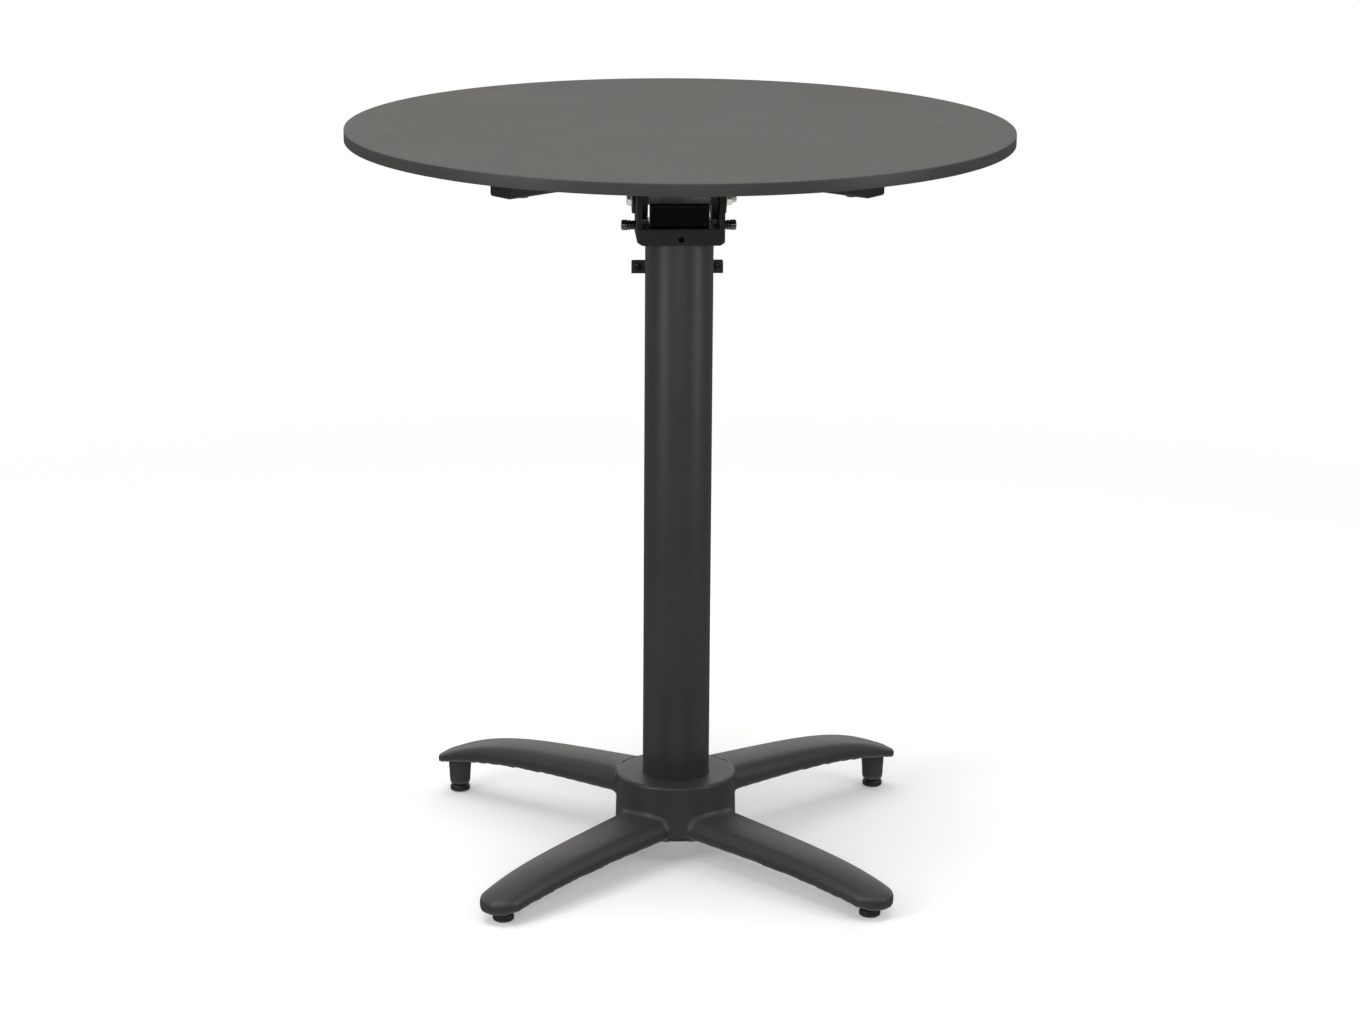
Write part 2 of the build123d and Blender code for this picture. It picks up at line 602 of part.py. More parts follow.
# ---------------------------------------------------------------- frame under the top
FRAME_ANGLES = {
    "front_left": 180.0 + FRAME_ANGLE,
    "front_right": 360.0 - FRAME_ANGLE,
    "back_left": 180.0 - FRAME_ANGLE,
    "back_right": FRAME_ANGLE,
}
for name, angle in FRAME_ANGLES.items():
    outward = Plane(origin=(0, 0, 0), x_dir=(-sin(radians(angle)), cos(radians(angle)), 0),
                    z_dir=(cos(radians(angle)), sin(radians(angle)), 0))
    tube_centre = (0, frame_bottom + FRAME_TUBE_HEIGHT / 2)
    with BuildPart() as frame_arm:
        with BuildSketch(outward.offset(FRAME_INNER_RADIUS)):
            with Locations(tube_centre):
                RectangleRounded(FRAME_TUBE_WIDTH, FRAME_TUBE_HEIGHT, FRAME_CORNER_RADIUS)
                RectangleRounded(
                    FRAME_TUBE_WIDTH - 2 * FRAME_TUBE_WALL,
                    FRAME_TUBE_HEIGHT - 2 * FRAME_TUBE_WALL,
                    FRAME_CORNER_RADIUS - FRAME_TUBE_WALL,
                    mode=Mode.SUBTRACT,
                )
        extrude(amount=FRAME_OUTER_RADIUS - FRAME_INNER_RADIUS)
        for radius in TOP_SCREW_RADII:
            with BuildSketch(Plane.XY.offset(frame_bottom)):
                with Locations(on_circle(radius, angle)):
                    Circle(TOP_SCREW_DIAMETER / 2 + SIDE_GAP)
            extrude(amount=FRAME_TUBE_HEIGHT, mode=Mode.SUBTRACT)
    finish(frame_arm.part, f"frame_arm_{name}")

    with BuildPart() as end_cap:
        with BuildSketch(outward.offset(FRAME_OUTER_RADIUS)):
            with Locations(tube_centre):
                RectangleRounded(FRAME_TUBE_WIDTH, FRAME_TUBE_HEIGHT, FRAME_CORNER_RADIUS)
        extrude(amount=END_CAP_THICKNESS)
        cap_face = end_cap.faces().sort_by(Axis(outward.origin, outward.z_dir))[-1]
        fillet(cap_face.edges(), radius=END_CAP_EDGE_RADIUS)
        plug_shrink = 2 * FRAME_TUBE_WALL + 2 * SEAT_GAP
        with BuildSketch(outward.offset(FRAME_OUTER_RADIUS)):
            with Locations(tube_centre):
                RectangleRounded(
                    FRAME_TUBE_WIDTH - plug_shrink,
                    FRAME_TUBE_HEIGHT - plug_shrink,
                    FRAME_CORNER_RADIUS - FRAME_TUBE_WALL,
                )
        extrude(amount=-END_CAP_PLUG)
    finish(end_cap.part, f"frame_end_cap_{name}")

screw_places = [
    on_circle(radius, angle) for angle in FRAME_ANGLES.values() for radius in TOP_SCREW_RADII
]
screw_tip = top_underside + INSERT_LENGTH - TOP_SCREW_END_GAP
with BuildPart() as top_screws:
    with BuildSketch(Plane.XY.offset(frame_bottom - TOP_SCREW_HEAD_HEIGHT)):
        with Locations(*screw_places):
            Circle(TOP_SCREW_HEAD_DIAMETER / 2)
    extrude(amount=TOP_SCREW_HEAD_HEIGHT)
    fillet(top_screws.edges().group_by(Axis.Z)[0], radius=TOP_SCREW_HEAD_RADIUS)
    with BuildSketch(Plane.XY.offset(frame_bottom)):
        with Locations(*screw_places):
            Circle(TOP_SCREW_DIAMETER / 2)
    extrude(amount=screw_tip - frame_bottom)
finish(top_screws.part, "top_screws")

with BuildPart() as top_inserts:
    with BuildSketch(Plane.XY.offset(top_underside)):
        with Locations(*screw_places):
            Circle(INSERT_DIAMETER / 2)
            Circle(TOP_SCREW_DIAMETER / 2 + THREAD_GAP, mode=Mode.SUBTRACT)
    extrude(amount=INSERT_LENGTH)
finish(top_inserts.part, "top_inserts")

with BuildPart() as tabletop:
    with BuildSketch(Plane.XY.offset(top_underside)):
        Circle(TOP_DIAMETER / 2)
    extrude(amount=TOP_THICKNESS)
    chamfer(tabletop.edges().filter_by(GeomType.CIRCLE), length=TOP_EDGE_CHAMFER)
    with BuildSketch(Plane.XY.offset(top_underside)):
        with Locations(*screw_places):
            Circle(INSERT_DIAMETER / 2 + THREAD_GAP)
    extrude(amount=INSERT_LENGTH, mode=Mode.SUBTRACT)
finish(tabletop.part, "tabletop")

# ---------------------------------------------------------------- latch
bar_end_x = LATCH_CAP_END_X - LATCH_CAP_END_WALL
cap_radius = bar_radius + LATCH_CAP_WALL
paddle_screw_places = [(-PADDLE_SCREW_X, pivot_back), (PADDLE_SCREW_X, pivot_back)]
with BuildPart() as latch_bar:
    with BuildSketch(Plane.YZ.offset(-bar_end_x)):
        with Locations((pivot_back, bar_rest_z)):
            Circle(bar_radius)
    extrude(amount=2 * bar_end_x)
    with BuildSketch(Plane.XY.offset(bar_rest_z)):
        with Locations(*paddle_screw_places):
            Circle(PADDLE_SCREW_DIAMETER / 2 + THREAD_GAP)
    extrude(amount=LATCH_BAR_DIAMETER, mode=Mode.SUBTRACT)
finish(latch_bar.part, "latch_bar")

for side, name in ((-1, "left"), (1, "right")):
    with BuildPart() as latch_cap:
        with BuildSketch(Plane.YZ.offset(side * (LATCH_CAP_END_X - LATCH_CAP_LENGTH))):
            with Locations((pivot_back, bar_rest_z)):
                Circle(cap_radius)
        extrude(amount=side * LATCH_CAP_LENGTH)
        fillet(latch_cap.edges().filter_by(GeomType.CIRCLE), radius=LATCH_CAP_EDGE_RADIUS)
        with BuildSketch(Plane.YZ.offset(side * (LATCH_CAP_END_X - LATCH_CAP_LENGTH))):
            with Locations((pivot_back, bar_rest_z)):
                Circle(bar_radius + THREAD_GAP)
        extrude(amount=side * (LATCH_CAP_LENGTH - LATCH_CAP_END_WALL), mode=Mode.SUBTRACT)
    finish(latch_cap.part, f"latch_cap_{name}")

flange_bottom = bar_rest_z + bar_radius
flange_back = pivot_back + bar_radius + PADDLE_LAP
paddle_top = pivot_height - PADDLE_DROP
paddle_start = Plane.YZ.offset(PADDLE_CENTRE_X - PADDLE_WIDTH / 2)
with BuildPart() as release_paddle:
    with BuildSketch(paddle_start):
        with BuildLine():
            Polyline(
                (flange_back, flange_bottom),
                (-PADDLE_FRONT, flange_bottom),
                (-PADDLE_FRONT, paddle_top),
                (-PADDLE_FRONT + PADDLE_THICKNESS, paddle_top),
                (-PADDLE_FRONT + PADDLE_THICKNESS, flange_bottom + PADDLE_THICKNESS),
                (flange_back, flange_bottom + PADDLE_THICKNESS),
                close=True,
            )
        make_face()
    extrude(amount=PADDLE_WIDTH)
    with BuildSketch(paddle_start):
        with Locations((-PADDLE_FRONT + PADDLE_BEAD_DIAMETER / 2, paddle_top)):
            Circle(PADDLE_BEAD_DIAMETER / 2)
    extrude(amount=PADDLE_WIDTH)
    with BuildSketch(Plane.XY.offset(flange_bottom)):
        with Locations(*paddle_screw_places):
            Circle(PADDLE_SCREW_DIAMETER / 2 + SLIDE_GAP)
    extrude(amount=PADDLE_THICKNESS, mode=Mode.SUBTRACT)
finish(release_paddle.part, "release_paddle")

with BuildPart() as paddle_screws:
    with BuildSketch(Plane.XY.offset(flange_bottom + PADDLE_THICKNESS)):
        with Locations(*paddle_screw_places):
            Circle(PADDLE_SCREW_HEAD_DIAMETER / 2)
    extrude(amount=PADDLE_SCREW_HEAD_HEIGHT)
    with BuildSketch(Plane.XY.offset(bar_rest_z + PADDLE_SCREW_TIP_GAP)):
        with Locations(*paddle_screw_places):
            Circle(PADDLE_SCREW_DIAMETER / 2)
    extrude(amount=bar_radius + PADDLE_THICKNESS - PADDLE_SCREW_TIP_GAP)
finish(paddle_screws.part, "paddle_screws")
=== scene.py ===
"""Folding bistro table: finished surfaces and turned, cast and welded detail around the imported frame."""

import json
from math import cos, pi, radians, sin, sqrt

import bmesh
import bpy
from mathutils import Matrix, Vector


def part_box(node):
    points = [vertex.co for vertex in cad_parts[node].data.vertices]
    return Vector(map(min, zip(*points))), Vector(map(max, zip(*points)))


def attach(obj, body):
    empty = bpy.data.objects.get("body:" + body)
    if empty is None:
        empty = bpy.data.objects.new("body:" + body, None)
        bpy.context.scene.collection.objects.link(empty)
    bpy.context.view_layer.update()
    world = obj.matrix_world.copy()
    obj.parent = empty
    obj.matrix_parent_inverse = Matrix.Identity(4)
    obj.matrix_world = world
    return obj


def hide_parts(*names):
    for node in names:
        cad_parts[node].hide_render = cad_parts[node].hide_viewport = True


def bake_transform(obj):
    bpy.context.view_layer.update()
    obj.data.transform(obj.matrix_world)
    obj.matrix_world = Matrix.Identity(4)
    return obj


MM = 0.001

# ------------------------------------------------------------------ view of the object
VIEW_TURN = radians(3.4)
VIEW_SIDE = 13.9 * MM
VIEW_DISTANCE = 3639.7 * MM
VIEW_HEIGHT = 1317.7 * MM
VIEW_PITCH = radians(14.82)
VIEW_ROLL = radians(0.41)
VIEW_YAW = radians(-0.18)
LENS = 98.65
SENSOR = 36.0

# ------------------------------------------------------------------ finishes
COAT_COLOUR = (0.030, 0.029, 0.027)
# The yoke's colour is the charcoal coat painted darker: painted shade for the shade under the tabletop.
YOKE_PAINTED_SHADE_COLOUR = (0.013, 0.013, 0.0125)
# The cam ears' colour is the coat painted lighter: painted light for the light their rounded fronts catch.
CAM_PAINTED_LIGHT_COLOUR = (0.110, 0.110, 0.104)
FRAME_COLOUR = (0.020, 0.020, 0.020)
FACE_COLOUR = (0.055, 0.053, 0.049)
CORE_COLOUR = (0.042, 0.041, 0.040)
ZINC_COLOUR = (0.86, 0.84, 0.78)
OXIDE_COLOUR = (0.035, 0.035, 0.037)
# The release plate's black is a real black finish taken down to near zero: painted shade for the deep
# shade under the tabletop.
RELEASE_PLATE_BLACK_AND_SHADE = (0.0015, 0.0015, 0.0016)
NYLON_COLOUR = (0.014, 0.014, 0.0145)
RUBBER_COLOUR = (0.018, 0.018, 0.018)
BRASS_COLOUR = (0.68, 0.50, 0.22)
# The spacer's colour is a near-white stand-in for zinc: painted light, so the tube reads bright in the
# tabletop's shade.
SPACER_PAINTED_LIGHT_COLOUR = (0.96, 0.94, 0.86)
CHROME_COLOUR = (0.10, 0.10, 0.10)
DUST_COLOUR = (0.42, 0.40, 0.37)
COAT_ROUGHNESS = 0.25

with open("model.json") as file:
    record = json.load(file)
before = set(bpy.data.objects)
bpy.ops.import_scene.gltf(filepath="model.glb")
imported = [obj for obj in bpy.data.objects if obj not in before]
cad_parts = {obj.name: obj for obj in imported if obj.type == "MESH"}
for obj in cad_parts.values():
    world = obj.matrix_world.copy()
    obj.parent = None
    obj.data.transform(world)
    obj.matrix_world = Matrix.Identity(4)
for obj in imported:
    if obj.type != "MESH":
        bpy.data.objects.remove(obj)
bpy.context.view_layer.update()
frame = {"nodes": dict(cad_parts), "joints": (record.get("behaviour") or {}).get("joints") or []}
nodes = frame["nodes"]
joints = {joint["name"]: joint for joint in frame["joints"]}
CORNERS = ("front_left", "front_right", "back_left", "back_right")


# ------------------------------------------------------------------ node group helpers
def new_group(name, inputs, outputs):
    """Shader node group with float, colour or vector sockets, and its input and output nodes."""
    group = bpy.data.node_groups.new(name, "ShaderNodeTree")
    for label, kind, value in inputs:
        socket = group.interface.new_socket(label, in_out="INPUT", socket_type=kind)
        socket.default_value = value
    for label, kind in outputs:
        group.interface.new_socket(label, in_out="OUTPUT", socket_type=kind)
    return group, group.nodes.new("NodeGroupInput"), group.nodes.new("NodeGroupOutput")


def put(tree, value, socket):
    """A plain value set on a socket, or another socket linked to it."""
    if isinstance(value, bpy.types.NodeSocket):
        tree.links.new(value, socket)
    else:
        socket.default_value = value


def fill(tree, node, **values):
    """Each named input set or linked; an underscore in a name stands for a space."""
    for label, value in values.items():
        put(tree, value, node.inputs[label.replace("_", " ")])


def math_node(tree, operation, first, second):
    """Math node whose inputs are sockets or plain numbers."""
    node = tree.nodes.new("ShaderNodeMath")
    node.operation = operation
    put(tree, first, node.inputs[0])
    put(tree, second, node.inputs[1])
    return node.outputs[0]


def map_range(tree, value, start, end, low, high, kind="SMOOTHSTEP"):
    """A value carried from one range onto another."""
    node = tree.nodes.new("ShaderNodeMapRange")
    node.interpolation_type = kind
    fill(tree, node, Value=value, From_Min=start, From_Max=end, To_Min=low, To_Max=high)
    return node.outputs["Result"]


def axes_of(tree, vector):
    """The X, Y and Z parts of a vector socket."""
    split = tree.nodes.new("ShaderNodeSeparateXYZ")
    put(tree, vector, split.inputs[0])
    return split.outputs


def noise(tree, vector, scale, detail, rough):
    """Noise texture on a vector, its scale a socket or a number."""
    node = tree.nodes.new("ShaderNodeTexNoise")
    fill(tree, node, Vector=vector, Scale=scale, Detail=detail, Roughness=rough)
    return node.outputs["Fac"]


def build_grain_group():
    """Two scales of fine surface grain: a height for bump and a slow tone variation."""
    group, given, made = new_group(
        "fine_grain",
        [("Vector", "NodeSocketVector", (0, 0, 0)), ("Grain per metre", "NodeSocketFloat", 1200.0),
         ("Peel per metre", "NodeSocketFloat", 320.0), ("Peel share", "NodeSocketFloat", 0.4)],
        [("Height", "NodeSocketFloat"), ("Tone", "NodeSocketFloat")],
    )
    vector = given.outputs["Vector"]
    grain = noise(group, vector, given.outputs["Grain per metre"], 3.0, 0.6)
    peel = noise(group, vector, given.outputs["Peel per metre"], 1.0, 0.4)
    weighted_peel = math_node(group, "MULTIPLY", peel, given.outputs["Peel share"])
    height = math_node(group, "ADD", grain, weighted_peel)
    cloud = noise(group, vector, 9.0, 3.0, 0.55)
    speck = noise(group, vector, 160.0, 2.0, 0.6)
    tone = math_node(group, "ADD", math_node(group, "MULTIPLY", cloud, 0.6),
                     math_node(group, "MULTIPLY", speck, 0.4))
    fill(group, made, Height=height, Tone=tone)
    return group


def build_edge_group():
    """Rounded normal over sharp edges, and a mask that is 1 on an edge and 0 on a flat."""
    group, given, made = new_group(
        "soft_edges",
        [("Vector", "NodeSocketVector", (0, 0, 0)), ("Radius", "NodeSocketFloat", 0.0007),
         ("Break-up per metre", "NodeSocketFloat", 220.0)],
        [("Normal", "NodeSocketVector"), ("Edge", "NodeSocketFloat")],
    )
    bevel = group.nodes.new("ShaderNodeBevel")
    bevel.samples = 4
    fill(group, bevel, Radius=given.outputs["Radius"])
    geometry = group.nodes.new("ShaderNodeNewGeometry")
    dot = group.nodes.new("ShaderNodeVectorMath")
    dot.operation = "DOT_PRODUCT"
    put(group, bevel.outputs["Normal"], dot.inputs[0])
    put(group, geometry.outputs["Normal"], dot.inputs[1])
    bend = math_node(group, "SUBTRACT", 1.0, dot.outputs["Value"])
    broken = noise(group, given.outputs["Vector"], given.outputs["Break-up per metre"], 2.0, 0.6)
    mask = math_node(group, "MULTIPLY", math_node(group, "MULTIPLY", bend, 6.0), broken)
    mask = math_node(group, "MINIMUM", mask, 1.0)
    fill(group, made, Normal=bevel.outputs["Normal"], Edge=mask)
    return group


def build_dust_group():
    """Faint settled dust: strongest on faces that look up, broken into soft patches."""
    group, given, made = new_group(
        "settled_dust",
        [("Vector", "NodeSocketVector", (0, 0, 0)), ("Patch per metre", "NodeSocketFloat", 14.0)],
        [("Dust", "NodeSocketFloat")],
    )
    geometry = group.nodes.new("ShaderNodeNewGeometry")
    up = math_node(group, "MAXIMUM", axes_of(group, geometry.outputs["Normal"])["Z"], 0.0)
    up = math_node(group, "POWER", up, 3.0)
    patch = noise(group, given.outputs["Vector"], given.outputs["Patch per metre"], 4.0, 0.6)
    speck = noise(group, given.outputs["Vector"], 900.0, 2.0, 0.7)
    amount = math_node(group, "MULTIPLY", math_node(group, "MULTIPLY", patch, speck), up)
    fill(group, made, Dust=amount)
    return group


grain_group = build_grain_group()
edge_group = build_edge_group()
dust_group = build_dust_group()


def place_group(tree, group, coords, **values):
    """A group node fed with object coordinates and its own plain values."""
    node = tree.nodes.new("ShaderNodeGroup")
    node.node_tree = group
    fill(tree, node, Vector=coords, **values)
    return node


def blend_colour(tree, factor, first, second):
    """Colour mix of two colours, or of a colour socket and a colour, by a factor socket."""
    mix = tree.nodes.new("ShaderNodeMix")
    mix.data_type = "RGBA"
    fill(tree, mix, Factor=factor)
    for index, value in ((6, first), (7, second)):
        put(tree, (*value, 1.0) if isinstance(value, tuple) else value, mix.inputs[index])
    return mix.outputs[2]


def span(tree, value, low, high):
    """Maps a 0.3 to 0.7 noise value onto a range."""
    return map_range(tree, value, 0.3, 0.7, low, high, "LINEAR")


def shade(colour, amount):
    """The same colour lighter or darker."""
    return tuple(min(1.0, part * amount) for part in colour)


def finish_material(name, colour, rough, grain, peel, bump, *, metal=0.0, specular=0.5, coat=0.0,
                    tone=0.12, edge_wear_and_highlight=None, dust=0.05, peel_share=0.4, stretch=(1.0, 1.0, 1.0),
                    edge=0.7):
    """A finish: base tone, grain bump over softened edges, a paler edge colour (wear on most finishes,
    painted highlight on the release plate's rims) and a trace of dust.
    """
    material = bpy.data.materials.new(name)
    material.use_nodes = True
    tree = material.node_tree
    shader = tree.nodes["Principled BSDF"]
    coords = tree.nodes.new("ShaderNodeTexCoord").outputs["Object"]
    mapping = tree.nodes.new("ShaderNodeMapping")
    fill(tree, mapping, Vector=coords, Scale=stretch)
    grained = place_group(tree, grain_group, mapping.outputs["Vector"],
                          Grain_per_metre=grain, Peel_per_metre=peel, Peel_share=peel_share)
    edges = place_group(tree, edge_group, coords, Radius=edge * MM)
    dusty = place_group(tree, dust_group, coords)
    tint = span(tree, grained.outputs["Tone"], 0.0, 1.0)
    base = blend_colour(tree, tint, shade(colour, 1.0 - tone), shade(colour, 1.0 + tone))
    # Paler colour along edges: wear on most finishes, and painted highlight along the release plate's
    # rims.
    if edge_wear_and_highlight:
        worn_and_lit_edge = math_node(tree, "MULTIPLY", edges.outputs["Edge"], edge_wear_and_highlight[1])
        base = blend_colour(tree, worn_and_lit_edge, base, edge_wear_and_highlight[0])
    settled = math_node(tree, "MULTIPLY", dusty.outputs["Dust"], dust)
    base = blend_colour(tree, settled, base, DUST_COLOUR)
    bumped = tree.nodes.new("ShaderNodeBump")
    fill(tree, bumped, Strength=1.0, Distance=bump * MM, Height=grained.outputs["Height"],
         Normal=edges.outputs["Normal"])
    fill(tree, shader, Base_Color=base, Roughness=span(tree, grained.outputs["Tone"], *rough),
         Normal=bumped.outputs["Normal"], Metallic=metal, Specular_IOR_Level=specular,
         Coat_Weight=coat, Coat_Roughness=COAT_ROUGHNESS)
    return material


powder_coat = finish_material("satin_powder_coat", COAT_COLOUR, (0.40, 0.50), 1500, 420, 0.030,
                              specular=0.45, edge_wear_and_highlight=((0.075, 0.074, 0.072), 0.5), dust=0.10)
cast_coat = finish_material("cast_powder_coat", COAT_COLOUR, (0.40, 0.50), 1500, 420, 0.030,
                            specular=0.5, edge_wear_and_highlight=((0.09, 0.088, 0.085), 0.35), dust=0.10, edge=1.6)
# Lighter copy of the coat for the cam ears: painted light, standing for the frontal light they catch under
# the tabletop.
cam_painted_light_coat = finish_material("cam_painted_light_coat", CAM_PAINTED_LIGHT_COLOUR, (0.40, 0.50), 1100, 380, 0.04,
                           specular=0.45, edge_wear_and_highlight=((0.16, 0.16, 0.155), 0.8), dust=0.04)
# Darker copy of the coat for the yoke: painted shade standing for the tabletop's shade.
yoke_coat = finish_material("cast_yoke_painted_shade_coat", YOKE_PAINTED_SHADE_COLOUR, (0.42, 0.56), 1100, 380, 0.05,
                            specular=0.30, edge_wear_and_highlight=((0.12, 0.12, 0.115), 0.8), dust=0.06)
frame_coat = finish_material("frame_tube_coat", FRAME_COLOUR, (0.42, 0.52), 1500, 420, 0.03,
                             specular=0.4, edge_wear_and_highlight=((0.09, 0.09, 0.09), 0.6), dust=0.05)
laminate_face = finish_material("laminate_face", FACE_COLOUR, (0.52, 0.62), 2600, 900, 0.016,
                                specular=0.10, tone=0.05, dust=0.05, peel_share=0.7)
laminate_core = finish_material("laminate_core", CORE_COLOUR, (0.42, 0.52), 2200, 500, 0.02,
                                specular=0.35, tone=0.10, dust=0.03, stretch=(1.0, 1.0, 5.0))
zinc_plate = finish_material("bright_zinc", ZINC_COLOUR, (0.30, 0.44), 1400, 240, 0.012, metal=0.9,
                             tone=0.14, edge_wear_and_highlight=((0.80, 0.79, 0.74), 0.5), dust=0.02,
                             stretch=(0.12, 1.0, 1.0))
# Paler, barely metallic copy of the zinc plate for the spacer: painted light standing for light on the
# tube.
spacer_zinc_painted_light = finish_material("spacer_zinc_painted_light", SPACER_PAINTED_LIGHT_COLOUR, (0.34, 0.46), 1400, 240, 0.010,
                              metal=0.10, tone=0.08, dust=0.01, stretch=(0.12, 1.0, 1.0))
black_oxide = finish_material("black_oxide", OXIDE_COLOUR, (0.26, 0.38), 1300, 300, 0.010, metal=1.0,
                              tone=0.2, edge_wear_and_highlight=((0.22, 0.21, 0.20), 0.8), dust=0.02,
                              stretch=(0.15, 1.0, 1.0))
# Release plate finish: real glossy black darkened as painted shade, and its pale edge colour is painted
# highlight along the rims.
gloss_black_and_shade = finish_material("gloss_black_plate_and_shade", RELEASE_PLATE_BLACK_AND_SHADE, (0.16, 0.24), 900, 260, 0.010,
                              specular=0.2, tone=0.15, dust=0.01,
                              edge_wear_and_highlight=((0.30, 0.30, 0.29), 0.9))
black_chrome = finish_material("black_chrome", CHROME_COLOUR, (0.14, 0.20), 900, 260, 0.006,
                               metal=1.0, tone=0.10, dust=0.01, edge_wear_and_highlight=((0.30, 0.30, 0.29), 0.6))
nylon = finish_material("moulded_nylon", NYLON_COLOUR, (0.36, 0.48), 1800, 300, 0.016,
                        specular=0.42, tone=0.12, edge_wear_and_highlight=((0.05, 0.05, 0.05), 0.5), dust=0.06)
rubber = finish_material("pad_rubber", RUBBER_COLOUR, (0.66, 0.80), 1600, 500, 0.05,
                         specular=0.3, tone=0.12, dust=0.10)
brass = finish_material("turned_brass", BRASS_COLOUR, (0.28, 0.40), 1500, 300, 0.010, metal=1.0,
                        tone=0.12, dust=0.0, stretch=(1.0, 1.0, 0.2))


# ------------------------------------------------------------------ mesh helpers
def add_piece(name, mesh, body, slot, *materials, replaces=(), smooth=35.0):
    """Piece from a mesh or bmesh: shaded, in its materials, on a body, standing for CAD nodes."""
    if isinstance(mesh, bmesh.types.BMesh):
        mesh = mesh_of(name, mesh)
    piece = bpy.data.objects.new(name, mesh)
    bpy.context.scene.collection.objects.link(piece)
    for material in materials:
        mesh.materials.append(material)
    mesh.shade_smooth()
    mesh.set_sharp_from_angle(angle=radians(smooth))
    if body:
        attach(piece, body)
    if replaces:
        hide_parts(*replaces)
    return piece


def mesh_of(name, shape):
    """Mesh from a bmesh, its doubles merged and its faces turned outwards."""
    bmesh.ops.remove_doubles(shape, verts=shape.verts, dist=1e-6)
    bmesh.ops.recalc_face_normals(shape, faces=shape.faces)
    mesh = bpy.data.meshes.new(name)
    shape.to_mesh(mesh)
    shape.free()
    return mesh


def ring_radius(radius, angle, flats, corner):
    """Radius of a round ring, or of a hexagon with its corners cut to a circle."""
    if not flats:
        return radius
    turn = (angle + pi / 6) % (pi / 3) - pi / 6
    return min(radius / cos(turn), corner)


def turned(shape, rings, place, segments=48, closed=True):
    """Skin through rings (height, radius, hexagonal, corner radius) along the place's Z axis."""
    loops = []
    for height, radius, flats, corner in rings:
        if radius <= 0:
            loops.append([shape.verts.new(place @ Vector((0, 0, height)))])
            continue
        loop = []
        for step in range(segments):
            angle = 2 * pi * step / segments
            reach = ring_radius(radius, angle, flats, corner)
            loop.append(shape.verts.new(place @ Vector((reach * cos(angle), reach * sin(angle), height))))
        loops.append(loop)
    pairs = list(zip(loops, loops[1:]))
    if closed:
        pairs.append((loops[-1], loops[0]))
    for low, high in pairs:
        for step in range(segments):
            after = (step + 1) % segments
            corners = [low[step % len(low)], low[after % len(low)],
                       high[after % len(high)], high[step % len(high)]]
            corners = [c for i, c in enumerate(corners) if c not in corners[:i]]
            if len(corners) > 2:
                shape.faces.new(corners)
    return shape


def rounded(points, radius, steps):
    """Rings (height, radius) with each inner corner of the outline rounded by a short arc."""
    outline = [points[0]]
    for before, here, after in zip(points, points[1:], points[2:]):
        here_v = Vector(here)
        back = Vector(before) - here_v
        ahead = Vector(after) - here_v
        reach = min(radius, back.length * 0.45, ahead.length * 0.45)
        start = here_v + back.normalized() * reach
        end = here_v + ahead.normalized() * reach
        for step in range(steps + 1):
            share = step / steps
            point = start.lerp(here_v, share).lerp(here_v.lerp(end, share), share)
            outline.append((point.x, point.y))
    outline.append(points[-1])
    return [(height, reach, False, 0.0) for height, reach in outline]


def round_rings(points):
    """Plain round rings from (height, radius) pairs."""
    return [(height, radius, False, 0.0) for height, radius in points]


def upright(x, y, z):
    """Place with its Z axis along the row's Z."""
    return Matrix.Translation((x, y, z))


def sideways(x, y, z, side=1):
    """Place with its Z axis along +X or -X."""
    return Matrix.Translation((x, y, z)) @ Matrix.Rotation(side * pi / 2, 4, "Y")


def middle(node):
    """Centre of a CAD node's box."""
    low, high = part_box(node)
    return (low + high) / 2


# ------------------------------------------------------------------ geometry node helpers
def node_tree(name, inputs):
    """Geometry node tree with a geometry input and output and the named inputs."""
    tree = bpy.data.node_groups.new(name, "GeometryNodeTree")
    tree.interface.new_socket("Geometry", in_out="INPUT", socket_type="NodeSocketGeometry")
    for label, kind, value in inputs:
        socket = tree.interface.new_socket(label, in_out="INPUT", socket_type=kind)
        if value is not None:
            socket.default_value = value
    tree.interface.new_socket("Geometry", in_out="OUTPUT", socket_type="NodeSocketGeometry")
    return tree, tree.nodes.new("NodeGroupInput"), tree.nodes.new("NodeGroupOutput")


def end_tree(tree, made, result, given):
    """Realise the copies, give them the material and hand them out."""
    real = tree.nodes.new("GeometryNodeRealizeInstances")
    paint = tree.nodes.new("GeometryNodeSetMaterial")
    put(tree, result, real.inputs[0])
    fill(tree, paint, Geometry=real.outputs[0], Material=given.outputs["Material"])
    fill(tree, made, Geometry=paint.outputs[0])


def copies_tree():
    """Copies of one object on the carrier's vertices."""
    tree, given, made = node_tree("copies_on_points", [
        ("Copy", "NodeSocketObject", None), ("Material", "NodeSocketMaterial", None)])
    info = tree.nodes.new("GeometryNodeObjectInfo")
    spread = tree.nodes.new("GeometryNodeInstanceOnPoints")
    fill(tree, info, Object=given.outputs["Copy"])
    fill(tree, spread, Points=given.outputs["Geometry"], Instance=info.outputs["Geometry"])
    end_tree(tree, made, spread.outputs[0], given)
    return tree


